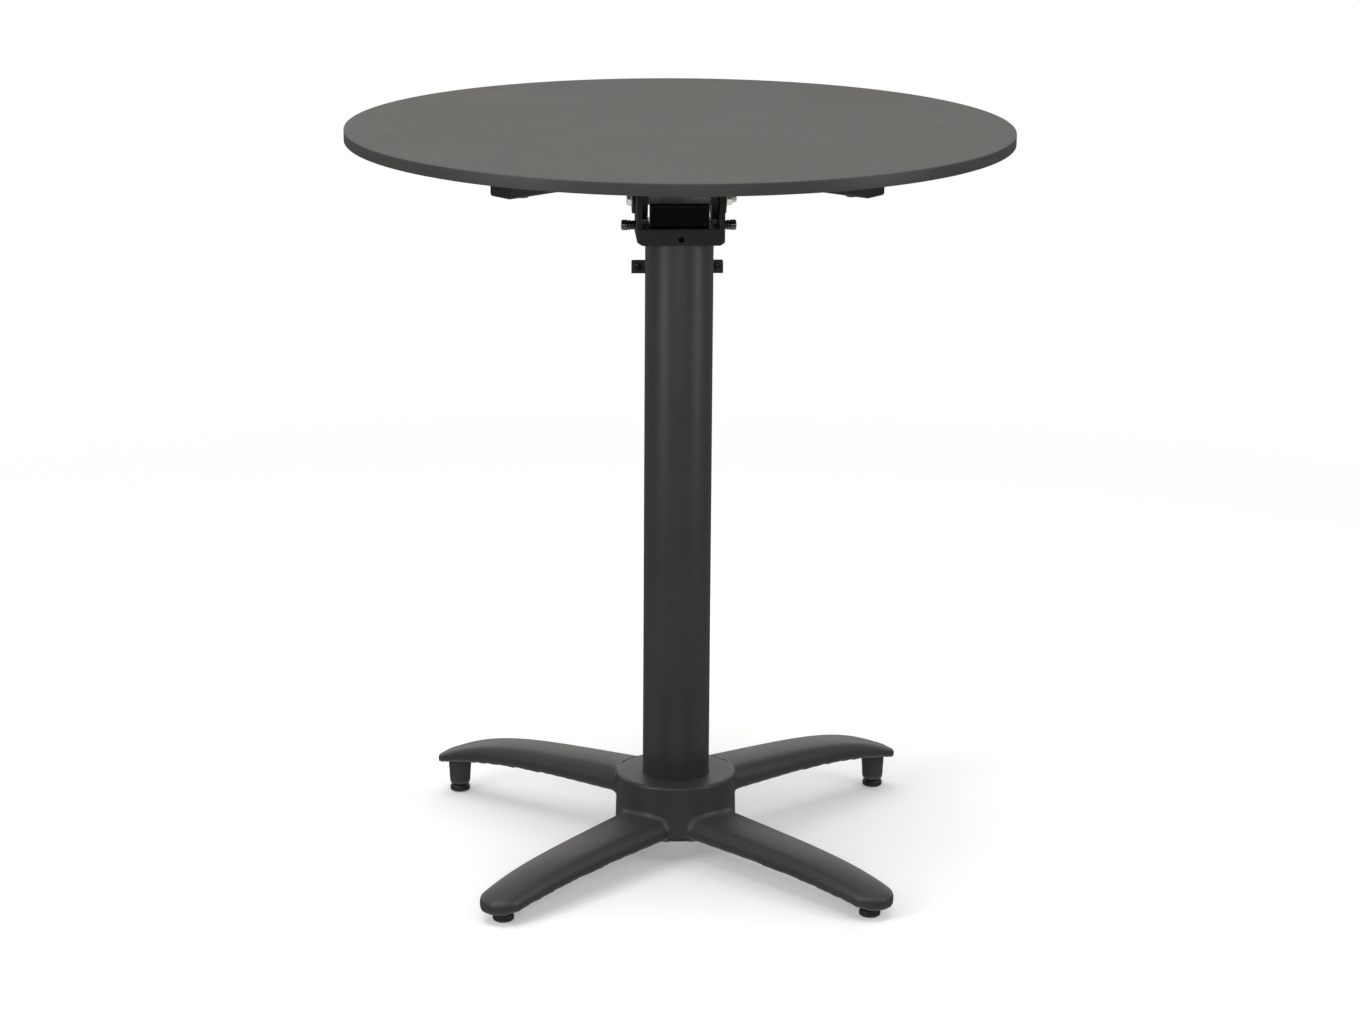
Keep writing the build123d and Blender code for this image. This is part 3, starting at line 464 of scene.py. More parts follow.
def ribs_tree():
    """Upright ribs in a ring: count, radius, and the size of one rib."""
    tree, given, made = node_tree("ring_of_ribs", [
        ("Count", "NodeSocketInt", 24), ("Radius", "NodeSocketFloat", 0.01),
        ("Rib size", "NodeSocketVector", (0.001, 0.001, 0.004)),
        ("Material", "NodeSocketMaterial", None)])
    want = given.outputs
    ring = tree.nodes.new("GeometryNodeMeshCircle")
    block = tree.nodes.new("GeometryNodeMeshCube")
    spread = tree.nodes.new("GeometryNodeInstanceOnPoints")
    place = tree.nodes.new("GeometryNodeInputPosition")
    align = tree.nodes.new("FunctionNodeAlignRotationToVector")
    align.axis = "X"
    fill(tree, ring, Vertices=want["Count"], Radius=want["Radius"])
    fill(tree, block, Size=want["Rib size"])
    fill(tree, align, Vector=place.outputs[0])
    fill(tree, spread, Points=ring.outputs[0], Instance=block.outputs["Mesh"],
         Rotation=align.outputs[0])
    end_tree(tree, made, spread.outputs[0], given)
    return tree


def coil_tree():
    """Round wire wound into a helix: turns, radius, height and wire radius."""
    tree, given, made = node_tree("wound_wire", [
        ("Turns", "NodeSocketFloat", 6.0), ("Radius", "NodeSocketFloat", 0.003),
        ("Height", "NodeSocketFloat", 0.02), ("Wire radius", "NodeSocketFloat", 0.0005),
        ("Steps", "NodeSocketInt", 24), ("Material", "NodeSocketMaterial", None)])
    want = given.outputs
    spiral = tree.nodes.new("GeometryNodeCurveSpiral")
    wire = tree.nodes.new("GeometryNodeCurvePrimitiveCircle")
    skin = tree.nodes.new("GeometryNodeCurveToMesh")
    fill(tree, spiral, Resolution=want["Steps"], Rotations=want["Turns"],
         Start_Radius=want["Radius"], End_Radius=want["Radius"], Height=want["Height"])
    fill(tree, wire, Resolution=8, Radius=want["Wire radius"])
    fill(tree, skin, Curve=spiral.outputs[0], Profile_Curve=wire.outputs[0], Fill_Caps=True)
    end_tree(tree, made, skin.outputs[0], given)
    return tree


def weld_tree():
    """Overlapping beads along the carrier's edges, each a little different in size."""
    tree, given, made = node_tree("weld_run", [
        ("Spacing", "NodeSocketFloat", 0.0016), ("Bead radius", "NodeSocketFloat", 0.0018),
        ("Seed", "NodeSocketInt", 3), ("Material", "NodeSocketMaterial", None)])
    want = given.outputs
    curve = tree.nodes.new("GeometryNodeMeshToCurve")
    points = tree.nodes.new("GeometryNodeCurveToPoints")
    points.mode = "LENGTH"
    bead = tree.nodes.new("GeometryNodeMeshIcoSphere")
    vary = tree.nodes.new("FunctionNodeRandomValue")
    vary.data_type = "FLOAT"
    vary.inputs[2].default_value = 0.85
    vary.inputs[3].default_value = 1.15
    spread = tree.nodes.new("GeometryNodeInstanceOnPoints")
    fill(tree, curve, Mesh=want["Geometry"])
    fill(tree, points, Curve=curve.outputs[0], Length=want["Spacing"])
    fill(tree, bead, Radius=want["Bead radius"], Subdivisions=2)
    fill(tree, vary, Seed=want["Seed"])
    fill(tree, spread, Points=points.outputs["Points"], Instance=bead.outputs["Mesh"],
         Rotation=points.outputs["Rotation"], Scale=vary.outputs[1])
    end_tree(tree, made, spread.outputs[0], given)
    return tree


TREES = {"copies": copies_tree(), "ribs": ribs_tree(), "coil": coil_tree(), "weld": weld_tree()}


def grow(name, tree_name, carrier, **values):
    """Plain mesh grown by a geometry node tree from a carrier mesh with the named inputs."""
    tree = TREES[tree_name]
    source = bpy.data.objects.new(name + "_carrier", carrier or bpy.data.meshes.new(name))
    bpy.context.scene.collection.objects.link(source)
    modifier = source.modifiers.new("grow", "NODES")
    modifier.node_group = tree
    sockets = {item.name: item.identifier for item in tree.interface.items_tree
               if item.in_out == "INPUT"}
    for label, value in values.items():
        modifier[sockets[label.replace("_", " ")]] = value
    graph = bpy.context.evaluated_depsgraph_get()
    mesh = bpy.data.meshes.new_from_object(source.evaluated_get(graph))
    bpy.data.objects.remove(source)
    mesh.name = name
    return mesh


def points_mesh(name, points, edges=()):
    """Carrier of loose points or of edges for a geometry node tree."""
    mesh = bpy.data.meshes.new(name)
    mesh.from_pydata([tuple(point) for point in points], list(edges), [])
    return mesh


# ------------------------------------------------------------------ tabletop and column
def make_tabletop():
    """Laminate disc with softened rims: patterned faces and a dark solid core at the edge."""
    low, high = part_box("tabletop")
    radius = high.x
    rim = 1.1 * MM
    rings = rounded([(low.z, radius * 0.985), (low.z, radius), (high.z, radius),
                     (high.z, radius * 0.985)], rim, 5)
    rings = [(low.z, 0.0, False, 0.0)] + rings + [(high.z, 0.0, False, 0.0)]
    shape = turned(bmesh.new(), rings, Matrix.Identity(4), segments=240, closed=False)
    mesh = mesh_of("tabletop_disc", shape)
    add_piece("tabletop_disc", mesh, "top_assembly", "laminate", laminate_face, laminate_core,
              replaces=("tabletop",), smooth=50)
    for polygon in mesh.polygons:
        polygon.material_index = 0 if abs(polygon.normal.z) > 0.9 else 1


def make_column():
    """Round tube with slightly broken ends."""
    low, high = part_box("column_tube")
    outer, wall = high.x, 2.0 * MM
    rings = rounded([(low.z + wall, outer - wall), (low.z, outer - wall), (low.z, outer),
                     (high.z, outer), (high.z, outer - wall), (low.z + 2 * wall, outer - wall)],
                    0.4 * MM, 2)
    mesh = mesh_of("column_sleeve", turned(bmesh.new(), rings, Matrix.Identity(4), segments=144))
    add_piece("column_sleeve", mesh, "pedestal", "pedestal_coat", powder_coat,
              replaces=("column_tube",), smooth=40)


# ------------------------------------------------------------------ cast pedestal
HUB_RADIUS = 60.5 * MM
HUB_DRAFT_SPREAD = 2.5 * MM
HUB_DRAFT = 0.0244
HUB_RIM_RADIUS = 3.2 * MM
HUB_TOP = 78.5 * MM
COLLAR_BOTTOM = 22.2 * MM
COLLAR_BORE_RADIUS = 34.15 * MM
COLLAR_SKIN = 1.0 * MM
COLLAR_LIFT = 0.05 * MM
SKIN_DEPTH = 9
SKIN_SHARE = 0.52
SMOOTH_PASSES = 16
MEND_PASSES = 4
SOCKET_KEEP = 38.0 * MM
FILLET_RADIUS = 2.2 * MM
FILLET_STEPS = 6
FILLET_ROOT = 0.3 * MM
CREASE_ANGLE = radians(20)


def hub_creases(shape):
    """Concave edges where an arm meets the hub, as {vertex: [(other vertex, hub normal, arm normal)]}."""
    links = {}
    for edge in shape.edges:
        if len(edge.link_faces) != 2 or edge.calc_face_angle_signed(0.0) > -CREASE_ANGLE:
            continue
        centre = (edge.verts[0].co + edge.verts[1].co) / 2
        reach = sqrt(centre.x**2 + centre.y**2)
        if abs(reach - HUB_RADIUS) > HUB_DRAFT_SPREAD:
            continue
        radial = Vector((centre.x, centre.y, 0)).normalized()
        faces = sorted(edge.link_faces, key=lambda face: -face.normal.dot(radial))
        if faces[0].normal.dot(radial) < 0.5:
            continue
        for here, there in (edge.verts, reversed(edge.verts)):
            links.setdefault(here, []).append((there, faces[0].normal.copy(), faces[1].normal.copy()))
    return links


def crease_chains(links):
    """Creases put in order from one open end to the other."""
    chains, used = [], set()
    for start in sorted(links, key=lambda vert: (len(links[vert]), tuple(vert.co))):
        if start in used:
            continue
        chain, here = [start], start
        used.add(start)
        while True:
            ahead = [entry[0] for entry in links[here] if entry[0] not in used]
            if not ahead:
                break
            here = ahead[0]
            used.add(here)
            chain.append(here)
        if len(chain) > 3:
            chains.append(chain)
    return chains


def fillet_bead(shape, chain, links):
    """Closed bead with a concave face along one crease, tangent to the hub and to the arm."""
    loops = []
    for vert in chain:
        to_hub = sum((entry[1] for entry in links[vert]), Vector()).normalized()
        to_arm = sum((entry[2] for entry in links[vert]), Vector()).normalized()
        both = to_hub + to_arm
        centre = vert.co + both * (FILLET_RADIUS / (1 + to_hub.dot(to_arm)))
        turn = to_hub.rotation_difference(to_arm)
        loop = []
        for step in range(FILLET_STEPS + 1):
            spin = Matrix.Rotation(turn.angle * step / FILLET_STEPS, 3, turn.axis)
            loop.append(shape.verts.new(centre - (spin @ to_hub) * FILLET_RADIUS))
        loop.append(shape.verts.new(vert.co - both.normalized() * FILLET_ROOT))
        loops.append(loop)
    count = len(loops[0])
    for low, high in zip(loops, loops[1:]):
        for index in range(count):
            after = (index + 1) % count
            shape.faces.new((low[index], low[after], high[after], high[index]))
    shape.faces.new(loops[0])
    shape.faces.new(loops[-1])


def mend_pinches(shape):
    """Cuts out each spot where two sheets of the skin share an edge, and closes the gap again."""
    for _ in range(MEND_PASSES):
        pinched = [edge for edge in shape.edges if len(edge.link_faces) != 2]
        if not pinched:
            return
        faces = {face for edge in pinched for vert in edge.verts for face in vert.link_faces}
        bmesh.ops.delete(shape, geom=sorted(faces, key=lambda face: face.index), context="FACES")
        bmesh.ops.delete(shape, geom=[vert for vert in shape.verts if not vert.link_faces],
                         context="VERTS")
        rim = [edge for edge in shape.edges if len(edge.link_faces) == 1]
        bmesh.ops.holes_fill(shape, edges=rim, sides=0)
        shape.faces.index_update()


def make_casting():
    """The casting as one poured skin with softened rims, and the corners at the hub filleted."""
    shape = bmesh.new()
    shape.from_mesh(nodes["base_casting"].data)
    bmesh.ops.remove_doubles(shape, verts=shape.verts, dist=1e-5)
    shape.normal_update()
    links = hub_creases(shape)
    beads = bmesh.new()
    for chain in crease_chains(links):
        fillet_bead(beads, chain, links)
    add_piece("hub_fillets", beads, "pedestal", "pedestal_coat",
              powder_coat, smooth=60)

    blank = bpy.data.objects.new("casting_blank", bpy.data.meshes.new("casting_blank"))
    bpy.context.scene.collection.objects.link(blank)
    shape.to_mesh(blank.data)
    shape.free()
    skin = blank.modifiers.new("skin", "REMESH")
    skin.mode = "SHARP"
    skin.octree_depth = SKIN_DEPTH
    skin.scale = SKIN_SHARE
    skin.use_remove_disconnected = False
    graph = bpy.context.evaluated_depsgraph_get()
    mesh = bpy.data.meshes.new_from_object(blank.evaluated_get(graph))
    bpy.data.objects.remove(blank)
    mesh.materials.clear()
    mesh.name = "pedestal_casting"
    shape = bmesh.new()
    shape.from_mesh(mesh)
    mend_pinches(shape)
    outside = [vert for vert in shape.verts if vert.co.x**2 + vert.co.y**2 > SOCKET_KEEP**2]
    for _ in range(SMOOTH_PASSES):
        bmesh.ops.smooth_vert(shape, verts=outside, factor=0.5, use_axis_x=True,
                              use_axis_y=True, use_axis_z=True)
    bmesh.ops.recalc_face_normals(shape, faces=shape.faces)
    shape.to_mesh(mesh)
    shape.free()
    add_piece("pedestal_casting", mesh, "pedestal", "pedestal_coat", cast_coat,
              replaces=("base_casting",), smooth=60)


def make_hub_collar():
    """The hub's machined face, rounded rim and drafted wall as one turned skin."""
    spread = (HUB_TOP - COLLAR_BOTTOM) * HUB_DRAFT
    wall = HUB_RADIUS + COLLAR_LIFT
    face = HUB_TOP + COLLAR_LIFT
    under = HUB_TOP - 2 * COLLAR_SKIN
    outline = [(under, COLLAR_BORE_RADIUS), (face, COLLAR_BORE_RADIUS), (face, wall),
               (COLLAR_BOTTOM, wall + spread), (COLLAR_BOTTOM, wall + spread - COLLAR_SKIN),
               (under, wall - 2 * COLLAR_SKIN)]
    rings = [(outline[0][0], outline[0][1], False, 0.0)]
    rings += rounded(outline[1:4], HUB_RIM_RADIUS, 8)
    rings += round_rings(outline[4:])
    shape = turned(bmesh.new(), rings, Matrix.Identity(4), segments=180)
    add_piece("hub_collar", shape, "pedestal", "pedestal_coat", powder_coat,
              smooth=40)


# ------------------------------------------------------------------ glides
def make_glides():
    """Moulded glide cups with a rounded sole and grip ribs; steel studs above."""
    for corner in CORNERS:
        low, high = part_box("glide_foot_" + corner)
        centre = (low + high) / 2
        radius, tall = high.x - centre.x, high.z - low.z
        place = upright(centre.x, centre.y, low.z)
        outline = [(0, radius - 1.6 * MM), (1.2 * MM, radius - 0.15 * MM), (2.2 * MM, radius),
                   (tall - 1.2 * MM, radius - 0.3 * MM), (tall, radius - 1.4 * MM)]
        rings = [(0, 0, False, 0)] + rounded(outline, 0.6 * MM, 3) + [(tall, 0, False, 0)]
        shape = turned(bmesh.new(), rings, place, segments=56, closed=False)
        add_piece("glide_cup_" + corner, shape, "glide_" + corner,
                  "black_nylon", nylon, replaces=("glide_foot_" + corner,))
        ribs = grow("glide_ribs_" + corner, "ribs", None, Count=28, Radius=radius - 0.25 * MM,
                    Rib_size=(0.5 * MM, 1.0 * MM, tall * 0.42), Material=nylon)
        ribs.transform(upright(centre.x, centre.y, low.z + tall * 0.5))
        add_piece("glide_ribs_" + corner, ribs, "glide_" + corner, "black_nylon")
        nodes["glide_stud_" + corner].data.materials[0] = zinc_plate


# ------------------------------------------------------------------ pivot hardware
def hex_rings(flats, tall):
    """Rings of a hexagon head with its outer corners turned down to a chamfer."""
    corner = flats / 2 * 1.155
    face = flats / 2 * 0.96
    return [(0.0, flats / 2, True, corner), (tall * 0.80, flats / 2, True, corner),
            (tall * 0.92, flats / 2, True, (corner + face) / 2), (tall, flats / 2, True, face)]


def make_pivot():
    """Bolt with a chamfered head and a threaded end, lock nut with its nylon collar, and the spacer tube.
    """
    low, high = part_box("pivot_bolt")
    y, z = middle("pivot_bolt").y, joints["top_tilt"]["pos_m"][2]
    washer_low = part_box("pivot_washers")[0]
    nut_low, nut_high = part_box("pivot_nut")
    head_tall = washer_low.x - low.x
    flats = high.z - low.z
    shank = 4.0 * MM
    place = sideways(washer_low.x, y, z, -1)
    shape = bmesh.new()
    rings = [(0, 0, False, 0)] + hex_rings(flats, head_tall) + [(head_tall, 0, False, 0)]
    turned(shape, rings, place, closed=False)
    inner = round_rings([(0, 0), (0, shank)])
    run = high.x - washer_low.x
    inner += round_rings([(run - 0.8 * MM, shank), (run, shank - 0.8 * MM), (run, 0)])
    turned(shape, inner, sideways(washer_low.x, y, z, 1), closed=False)
    add_piece("pivot_bolt_turned", shape, "pedestal", "zinc_steel",
              zinc_plate, replaces=("pivot_bolt",))
    thread_run = high.x - nut_high.x
    thread = grow("pivot_thread", "coil", None, Turns=thread_run / (0.9 * MM), Radius=shank - 0.12 * MM,
                  Height=thread_run - 0.5 * MM, Wire_radius=0.26 * MM, Steps=28, Material=zinc_plate)
    thread.transform(sideways(nut_high.x, y, z, 1))
    add_piece("pivot_thread", thread, "pedestal", "zinc_steel")

    shape = bmesh.new()
    tall = nut_high.x - nut_low.x
    bore = shank + 0.05 * MM
    rings = [(0, bore, False, 0)] + hex_rings(flats, tall * 0.72)
    rings += round_rings([(tall * 0.72, flats * 0.42), (tall * 0.90, flats * 0.42),
                          (tall, flats * 0.37), (tall, bore)])
    turned(shape, rings, sideways(nut_low.x, y, z, 1))
    add_piece("pivot_lock_nut", shape, "pedestal", "zinc_steel",
              zinc_plate, replaces=("pivot_nut",))
    shape = bmesh.new()
    seat, proud = tall * 0.985, tall + 0.2 * MM
    rings = round_rings([(seat, bore), (seat, flats * 0.33), (proud, flats * 0.31), (proud, bore)])
    turned(shape, rings, sideways(nut_low.x, y, z, 1))
    add_piece("lock_nut_collar", shape, "pedestal", "black_nylon", nylon)

    low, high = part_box("pivot_spacer")
    radius = (high.z - low.z) / 2
    outline = [(low.x, bore), (low.x, radius), (high.x, radius), (high.x, bore)]
    shape = turned(bmesh.new(), rounded(outline, 0.5 * MM, 3), sideways(0, y, z, 1), segments=72)
    # The spacer tube takes the paler zinc copy with its painted light.
    add_piece("pivot_spacer_tube", shape, "top_assembly",
              "zinc_steel", spacer_zinc_painted_light, replaces=("pivot_spacer",))


# ------------------------------------------------------------------ latch
def make_latch():
    """Bar end caps with turned grooves, and the pressed release plate with rolled edges."""
    bar_low, bar_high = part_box("latch_bar")
    y, z = (bar_low.y + bar_high.y) / 2, (bar_low.z + bar_high.z) / 2
    for side, name in ((-1, "left"), (1, "right")):
        low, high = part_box("latch_cap_" + name)
        radius, length = (high.z - low.z) / 2, high.x - low.x
        start = high.x if side < 0 else low.x
        groove = radius - 0.9 * MM
        outline = [(0, radius * 0.86), (0, radius), (length * 0.14, radius), (length * 0.18, groove),
                   (length * 0.26, groove), (length * 0.30, radius), (length * 0.88, radius),
                   (length, radius * 0.80), (length, radius * 0.2)]
        rings = [(0, 0, False, 0)] + rounded(outline, 0.5 * MM, 2) + [(length, 0, False, 0)]
        shape = turned(bmesh.new(), rings, sideways(start, y, z, side), closed=False)
        add_piece("latch_knob_" + name, shape, "latch",
                  "black_steel", black_chrome, replaces=("latch_cap_" + name,))
    low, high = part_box("release_paddle")
    sheet = 2.5 * MM
    bead = 2.3 * MM
    bend = 3.5 * MM
    section = [(high.y, low.z), (low.y + bend, low.z)]
    for step in range(1, 7):
        angle = pi / 2 * step / 6
        section.append((low.y + bend - bend * sin(angle), low.z + bend - bend * cos(angle)))
    for step in range(11):
        angle = pi - 1.25 * pi * step / 10
        section.append((low.y + bead + bead * cos(angle), high.z - bead + bead * sin(angle)))
    inner = bend - sheet
    section.append((low.y + sheet, low.z + bend + 1.0 * MM))
    for step in range(5):
        angle = pi / 2 * (1 - step / 4)
        section.append((low.y + bend - inner * sin(angle), low.z + bend - inner * cos(angle)))
    section.append((high.y, low.z + sheet))
    shape = bmesh.new()
    slices = 9
    loops = []
    for step in range(slices):
        x = low.x + (high.x - low.x) * step / (slices - 1)
        loops.append([shape.verts.new((x, point[0], point[1])) for point in section])
    for first, second in zip(loops, loops[1:]):
        for index in range(len(section)):
            after = (index + 1) % len(section)
            shape.faces.new((first[index], first[after], second[after], second[index]))
    shape.faces.new(loops[0])
    shape.faces.new(loops[-1])
    mesh = mesh_of("release_plate", shape)
    # The release plate carries painted shade in its near-black colour and painted highlight on its rims.
    piece = add_piece("release_plate", mesh, "latch", "paddle_coat", gloss_black_and_shade,
                      replaces=("release_paddle",), smooth=40)
    edge = piece.modifiers.new("broken edge", "BEVEL")
    edge.width = 0.35 * MM
    edge.segments = 2
    edge.limit_method = "ANGLE"
    edge.angle_limit = radians(50)


def make_springs():
    """The two compression springs in the yoke, wound as real wire, their tops held by the bar."""
    low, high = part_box("latch_springs")
    tall = high.z - low.z
    wire = 0.5 * MM
    y = (low.y + high.y) / 2
    radius = (high.y - low.y) / 2 - wire
    for side, name in ((-1, "left"), (1, "right")):
        coil = grow("latch_coil_" + name, "coil", None, Turns=8.0, Radius=radius,
                    Height=tall - 2 * wire, Wire_radius=wire, Steps=24, Material=zinc_plate)
        x = side * (high.x - radius - wire)
        coil.transform(upright(x, y, low.z + wire))
        replaces = ("latch_springs",) if side < 0 else ()
        piece = add_piece("latch_coil_" + name, coil, None, "black_steel", replaces=replaces)
        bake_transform(piece)


# ------------------------------------------------------------------ screws
def socket_screw_mesh(name, head_radius, head_tall, shank_radius, shank_length, socket):
    """Pan head screw, head down: domed rim, hexagon socket and plain shank."""
    rings = [(-head_tall * 0.35, 0, False, 0), (-head_tall * 0.35, socket, True, socket * 1.155),
             (-head_tall, socket, True, socket * 1.155), (-head_tall, head_radius * 0.72, False, 0),
             (-head_tall * 0.86, head_radius * 0.90, False, 0), (-head_tall * 0.5, head_radius, False, 0),
             (0, head_radius, False, 0), (0, shank_radius, False, 0),
             (shank_length - 0.6 * MM, shank_radius, False, 0),
             (shank_length, shank_radius - 0.6 * MM, False, 0), (shank_length, 0, False, 0)]
    shape = turned(bmesh.new(), rings, Matrix.Identity(4), segments=36, closed=False)
    return mesh_of(name, shape)


def screws_piece(name, single, points, body, replaced):
    """One piece of equal black screws on the given points, in place of a CAD node."""
    model = bpy.data.objects.new(name + "_single", single)
    bpy.context.scene.collection.objects.link(model)
    mesh = grow(name, "copies", points_mesh(name, points), Copy=model, Material=black_oxide)
    bpy.data.objects.remove(model)
    add_piece(name, mesh, body, "black_steel", replaces=(replaced,))


def islands(node):
    """Centre and size of each separate solid in a CAD node."""
    shape = bmesh.new()
    shape.from_mesh(nodes[node].data)
    bmesh.ops.remove_doubles(shape, verts=shape.verts, dist=1e-5)
    left, found = set(shape.verts), []
    while left:
        stack, seen = [next(iter(left))], set()
        while stack:
            vert = stack.pop()
            if vert in seen:
                continue
            seen.add(vert)
            stack.extend(edge.other_vert(vert) for edge in vert.link_edges)
        left -= seen
        low = Vector(tuple(min(v.co[i] for v in seen) for i in range(3)))
        high = Vector(tuple(max(v.co[i] for v in seen) for i in range(3)))
        found.append((low, high))
    shape.free()
    return sorted(found, key=lambda pair: tuple(pair[0]))


def make_screws():
    """Screws under the top, on the release plate and in the bumper bar."""
    head_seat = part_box("hinge_plate")[1].z
    solids = islands("top_screws")
    low, high = solids[0]
    single = socket_screw_mesh("top_screw", (high.x - low.x) / 2, head_seat - low.z, 3.0 * MM,
                               high.z - head_seat, 2.0 * MM)
    places = [((a.x + b.x) / 2, (a.y + b.y) / 2, head_seat) for a, b in solids]
    screws_piece("top_socket_screws", single, places, "top_assembly", "top_screws")

    solids = islands("paddle_screws")
    low, high = solids[0]
    tall = 2.0 * MM
    single = socket_screw_mesh("plate_screw", (high.x - low.x) / 2, tall, 2.0 * MM,
                               high.z - low.z - tall, 1.2 * MM)
    single.transform(Matrix.Rotation(pi, 4, "X"))
    places = [((a.x + b.x) / 2, (a.y + b.y) / 2, b.z - tall) for a, b in solids]
    screws_piece("release_plate_screws", single, places, "latch", "paddle_screws")

    solids = islands("bumper_screws")
    low, high = solids[0]
    bar_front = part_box("bumper_bar")[0].y
    single = socket_screw_mesh("bumper_screw", (high.x - low.x) / 2, bar_front - low.y, 2.0 * MM,
                               high.y - bar_front, 1.25 * MM)
    single.transform(Matrix.Rotation(-pi / 2, 4, "X"))
    places = [((a.x + b.x) / 2, bar_front, (a.z + b.z) / 2) for a, b in solids]
    screws_piece("bumper_socket_screws", single, places, "pedestal", "bumper_screws")


# ------------------------------------------------------------------ welds
TUBE_HEADING = (0.7615, 0.6481)
TUBE_HALF = 15.0 * MM
TUBE_WELD_START = 30.0 * MM
WELD_INSET = 3.0 * MM


def weld_run(name, runs, body, slot, material, bead):
    """Weld beads along straight runs, each a (start, end) pair."""
    points, edges = [], []
    for start, end in runs:
        edges.append((len(points), len(points) + 1))
        points += [start, end]
    mesh = grow(name, "weld", points_mesh(name, points, edges), Spacing=bead * 0.75,
                Bead_radius=bead, Seed=5, Material=material)
    add_piece(name, mesh, body, slot, smooth=70)


def make_welds():
    """Runs that hold the frame tubes and the cam ears to the hinge plate."""
    plate_low, plate_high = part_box("hinge_plate")
    runs = []
    for name in ("left", "right"):
        low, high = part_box("cam_ear_" + name)
        for x in (low.x, high.x):
            runs.append(((x, low.y + WELD_INSET, plate_low.z), (x, high.y - WELD_INSET, plate_low.z)))
    # The ear welds take the yoke's darker coat with its painted shade.
    weld_run("ear_welds", runs, "top_assembly", "yoke_coat", yoke_coat, 1.3 * MM)
    runs = []
    for corner in CORNERS:
        node_low, node_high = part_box("frame_arm_" + corner)
        sign_x = 1 if corner.endswith("right") else -1
        sign_y = 1 if corner.startswith("back") else -1
        end = Vector((node_high.x if sign_x > 0 else -node_low.x,
                      node_high.y if sign_y > 0 else -node_low.y, 0))
        heading = Vector((TUBE_HEADING[0] * sign_x, TUBE_HEADING[1] * sign_y, 0))
        across = Vector((-heading.y, heading.x, 0))
        for side in (-1, 1):
            reach = plate_high.x - WELD_INSET - side * across.x * TUBE_HALF * sign_x
            far = min(reach / abs(heading.x), end.length)
            start = heading * TUBE_WELD_START + across * side * TUBE_HALF
            stop = heading * far + across * side * TUBE_HALF
            runs.append(((start.x, start.y, plate_high.z), (stop.x, stop.y, plate_high.z)))
    weld_run("frame_welds", runs, "top_assembly", "frame_coat", frame_coat, 1.4 * MM)


# ------------------------------------------------------------------ CAD pieces that stay
def finish_cad_pieces():
    """Procedural finish for each CAD solid whose shape is already right; the yoke's darker coat is painted
    shade and the cam ears' lighter coat is painted light.
    """
    finishes = {
        yoke_coat: ["head_yoke"],
        cam_painted_light_coat: ["cam_ear_left", "cam_ear_right"],
        frame_coat: ["hinge_plate", "bumper_bar"] + ["frame_arm_" + corner for corner in CORNERS],
        zinc_plate: ["tie_rod", "tie_rod_washer", "tie_rod_nut", "pivot_washers"],
        black_oxide: ["latch_bar", "yoke_grub_screw"],
        rubber: ["rest_pads", "bumper_pads"],
        nylon: ["pivot_bushes"] + ["frame_end_cap_" + corner for corner in CORNERS],
        brass: ["top_inserts"],
    }
    for material, names in finishes.items():
        for name in names:
            nodes[name].data.materials.clear()
            nodes[name].data.materials.append(material)


# ------------------------------------------------------------------ floor, light and camera
FLOOR_RADIUS = 2.1
FLOOR_FADE_START = 0.75
FLOOR_GLOW = 0.20


def make_floor():
    """Pale floor disc that fades out into the pale surroundings."""
    shape = turned(bmesh.new(), [(0, 0, False, 0), (0, FLOOR_RADIUS, False, 0)],
                   Matrix.Translation((0, 0, -0.0004)), segments=96, closed=False)
    mesh = mesh_of("floor", shape)
    floor = bpy.data.objects.new("floor", mesh)
    bpy.context.scene.collection.objects.link(floor)
    material = bpy.data.materials.new("pale_floor")
    material.use_nodes = True
    tree = material.node_tree
    shader = tree.nodes["Principled BSDF"]
    fill(tree, shader, Base_Color=(0.90, 0.90, 0.90, 1), Roughness=0.85, Specular_IOR_Level=0.1,
         Emission_Color=(1, 1, 1, 1), Emission_Strength=FLOOR_GLOW)
    coords = tree.nodes.new("ShaderNodeTexCoord")
    length = tree.nodes.new("ShaderNodeVectorMath")
    length.operation = "LENGTH"
    put(tree, coords.outputs["Object"], length.inputs[0])
    fade = map_range(tree, length.outputs["Value"], FLOOR_FADE_START, FLOOR_RADIUS, 1.0, 0.0)
    incoming = tree.nodes.new("ShaderNodeNewGeometry").outputs["Incoming"]
    above = math_node(tree, "GREATER_THAN", axes_of(tree, incoming)["Z"], 0.0)
    fill(tree, shader, Alpha=math_node(tree, "MULTIPLY", fade, above))
    mesh.materials.append(material)
    floor.visible_diffuse = False
    floor.visible_glossy = False


def area_light(name, place, target, size, power):
    """Soft rectangular light at a place, aimed at a target and unseen by the camera."""
    data = bpy.data.lights.new(name, "AREA")
    data.shape = "RECTANGLE"
    data.size, data.size_y = size
    data.energy = power
    light = bpy.data.objects.new(name, data)
    light.location = place
    light.rotation_euler = (Vector(target) - Vector(place)).to_track_quat("-Z", "Y").to_euler()
    light.visible_camera = False
    bpy.context.scene.collection.objects.link(light)


WORLD_LOW = 0.15
WORLD_BACK = 1.45
WORLD_TOP_SHARE = 0.20
WORLD_BELOW = 0.9
# axis, start and end along it, strength at the start and at the end
WORLD_STEPS = (
    ("Z", 0.0, 0.16, 0.0, 1.0), ("Y", -0.1, 0.7, 0.0, 1.0), ("Z", 0.20, 0.60, 1.0, WORLD_TOP_SHARE),
    ("Z", -0.8, -0.35, WORLD_BELOW, 0.0),
)
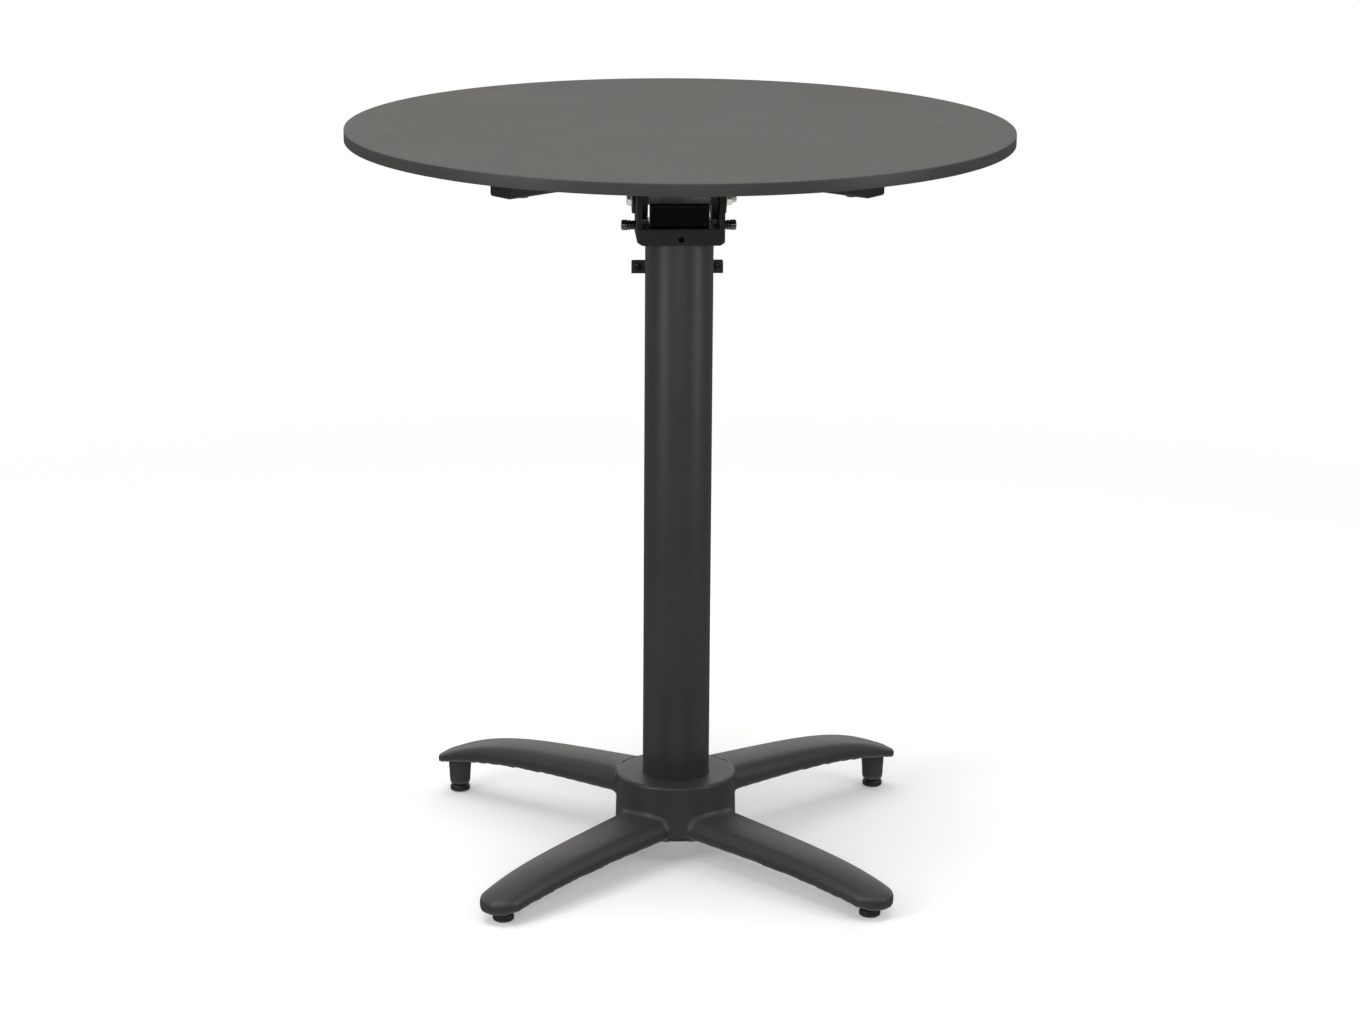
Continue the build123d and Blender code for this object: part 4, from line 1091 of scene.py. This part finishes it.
# name, place, target, size and power
LIGHTS = (
    ("overhead", (-0.25, -0.1, 2.7), (0, 0, 0.4), (2.4, 2.4), 62),
    ("left_strip", (-2.0, -1.5, 1.25), (0, 0, 0.45), (0.7, 2.0), 28),
    ("right_strip", (2.1, -1.1, 1.2), (0, 0, 0.45), (0.6, 2.0), 22),
    ("front_bar", (0, -3.0, 1.46), (0, 0, 0.66), (2.0, 0.5), 20),
)


def make_light():
    """Pale surroundings, brightest behind and above, a soft light overhead and strips at the sides."""
    world = bpy.data.worlds.new("studio")
    bpy.context.scene.world = world
    world.use_nodes = True
    tree = world.node_tree
    back = tree.nodes["Background"]
    path = tree.nodes.new("ShaderNodeLightPath")
    seen = tree.nodes.new("ShaderNodeBackground")
    both = tree.nodes.new("ShaderNodeMixShader")
    coords = tree.nodes.new("ShaderNodeTexCoord")
    axes = axes_of(tree, coords.outputs["Generated"])
    steps = [map_range(tree, axes[axis], *limits) for axis, *limits in WORLD_STEPS]
    lift = math_node(tree, "MULTIPLY", math_node(tree, "MULTIPLY", steps[0], steps[1]), steps[2])
    strength = math_node(tree, "ADD", math_node(tree, "MULTIPLY", lift, WORLD_BACK), WORLD_LOW)
    strength = math_node(tree, "ADD", strength, steps[3])
    fill(tree, back, Strength=strength, Color=(1.0, 0.985, 0.96, 1))
    fill(tree, seen, Strength=1.0, Color=(1, 1, 1, 1))
    for index, socket in enumerate((path.outputs["Is Camera Ray"], back.outputs[0], seen.outputs[0])):
        put(tree, socket, both.inputs[index])
    fill(tree, tree.nodes["World Output"], Surface=both.outputs[0])
    for light in LIGHTS:
        area_light(*light)


def make_camera():
    """Camera a little above the top, level with the object's front, long lens."""
    data = bpy.data.cameras.new("camera")
    data.lens = LENS
    data.sensor_width = SENSOR
    camera = bpy.data.objects.new("camera", data)
    bpy.context.scene.collection.objects.link(camera)
    turn = Matrix.Rotation(-VIEW_TURN, 3, "Z")
    ahead = turn @ Vector((sin(VIEW_YAW) * cos(VIEW_PITCH), cos(VIEW_YAW) * cos(VIEW_PITCH),
                           -sin(VIEW_PITCH)))
    right = turn @ Vector((cos(VIEW_YAW), -sin(VIEW_YAW), 0))
    up = right.cross(ahead)
    rolled_right = right * cos(VIEW_ROLL) + up * sin(VIEW_ROLL)
    rolled_up = up * cos(VIEW_ROLL) - right * sin(VIEW_ROLL)
    axes = Matrix((rolled_right, rolled_up, -ahead)).transposed()
    place = turn @ Vector((VIEW_SIDE, -VIEW_DISTANCE, VIEW_HEIGHT))
    camera.matrix_world = Matrix.Translation(place) @ axes.to_4x4()
    bpy.context.scene.camera = camera


make_camera()
make_light()
make_floor()
make_tabletop()
make_column()
make_casting()
make_hub_collar()
make_glides()
make_pivot()
make_latch()
make_springs()
make_screws()
make_welds()
finish_cad_pieces()

scene = bpy.context.scene
scene.view_settings.view_transform = "Standard"
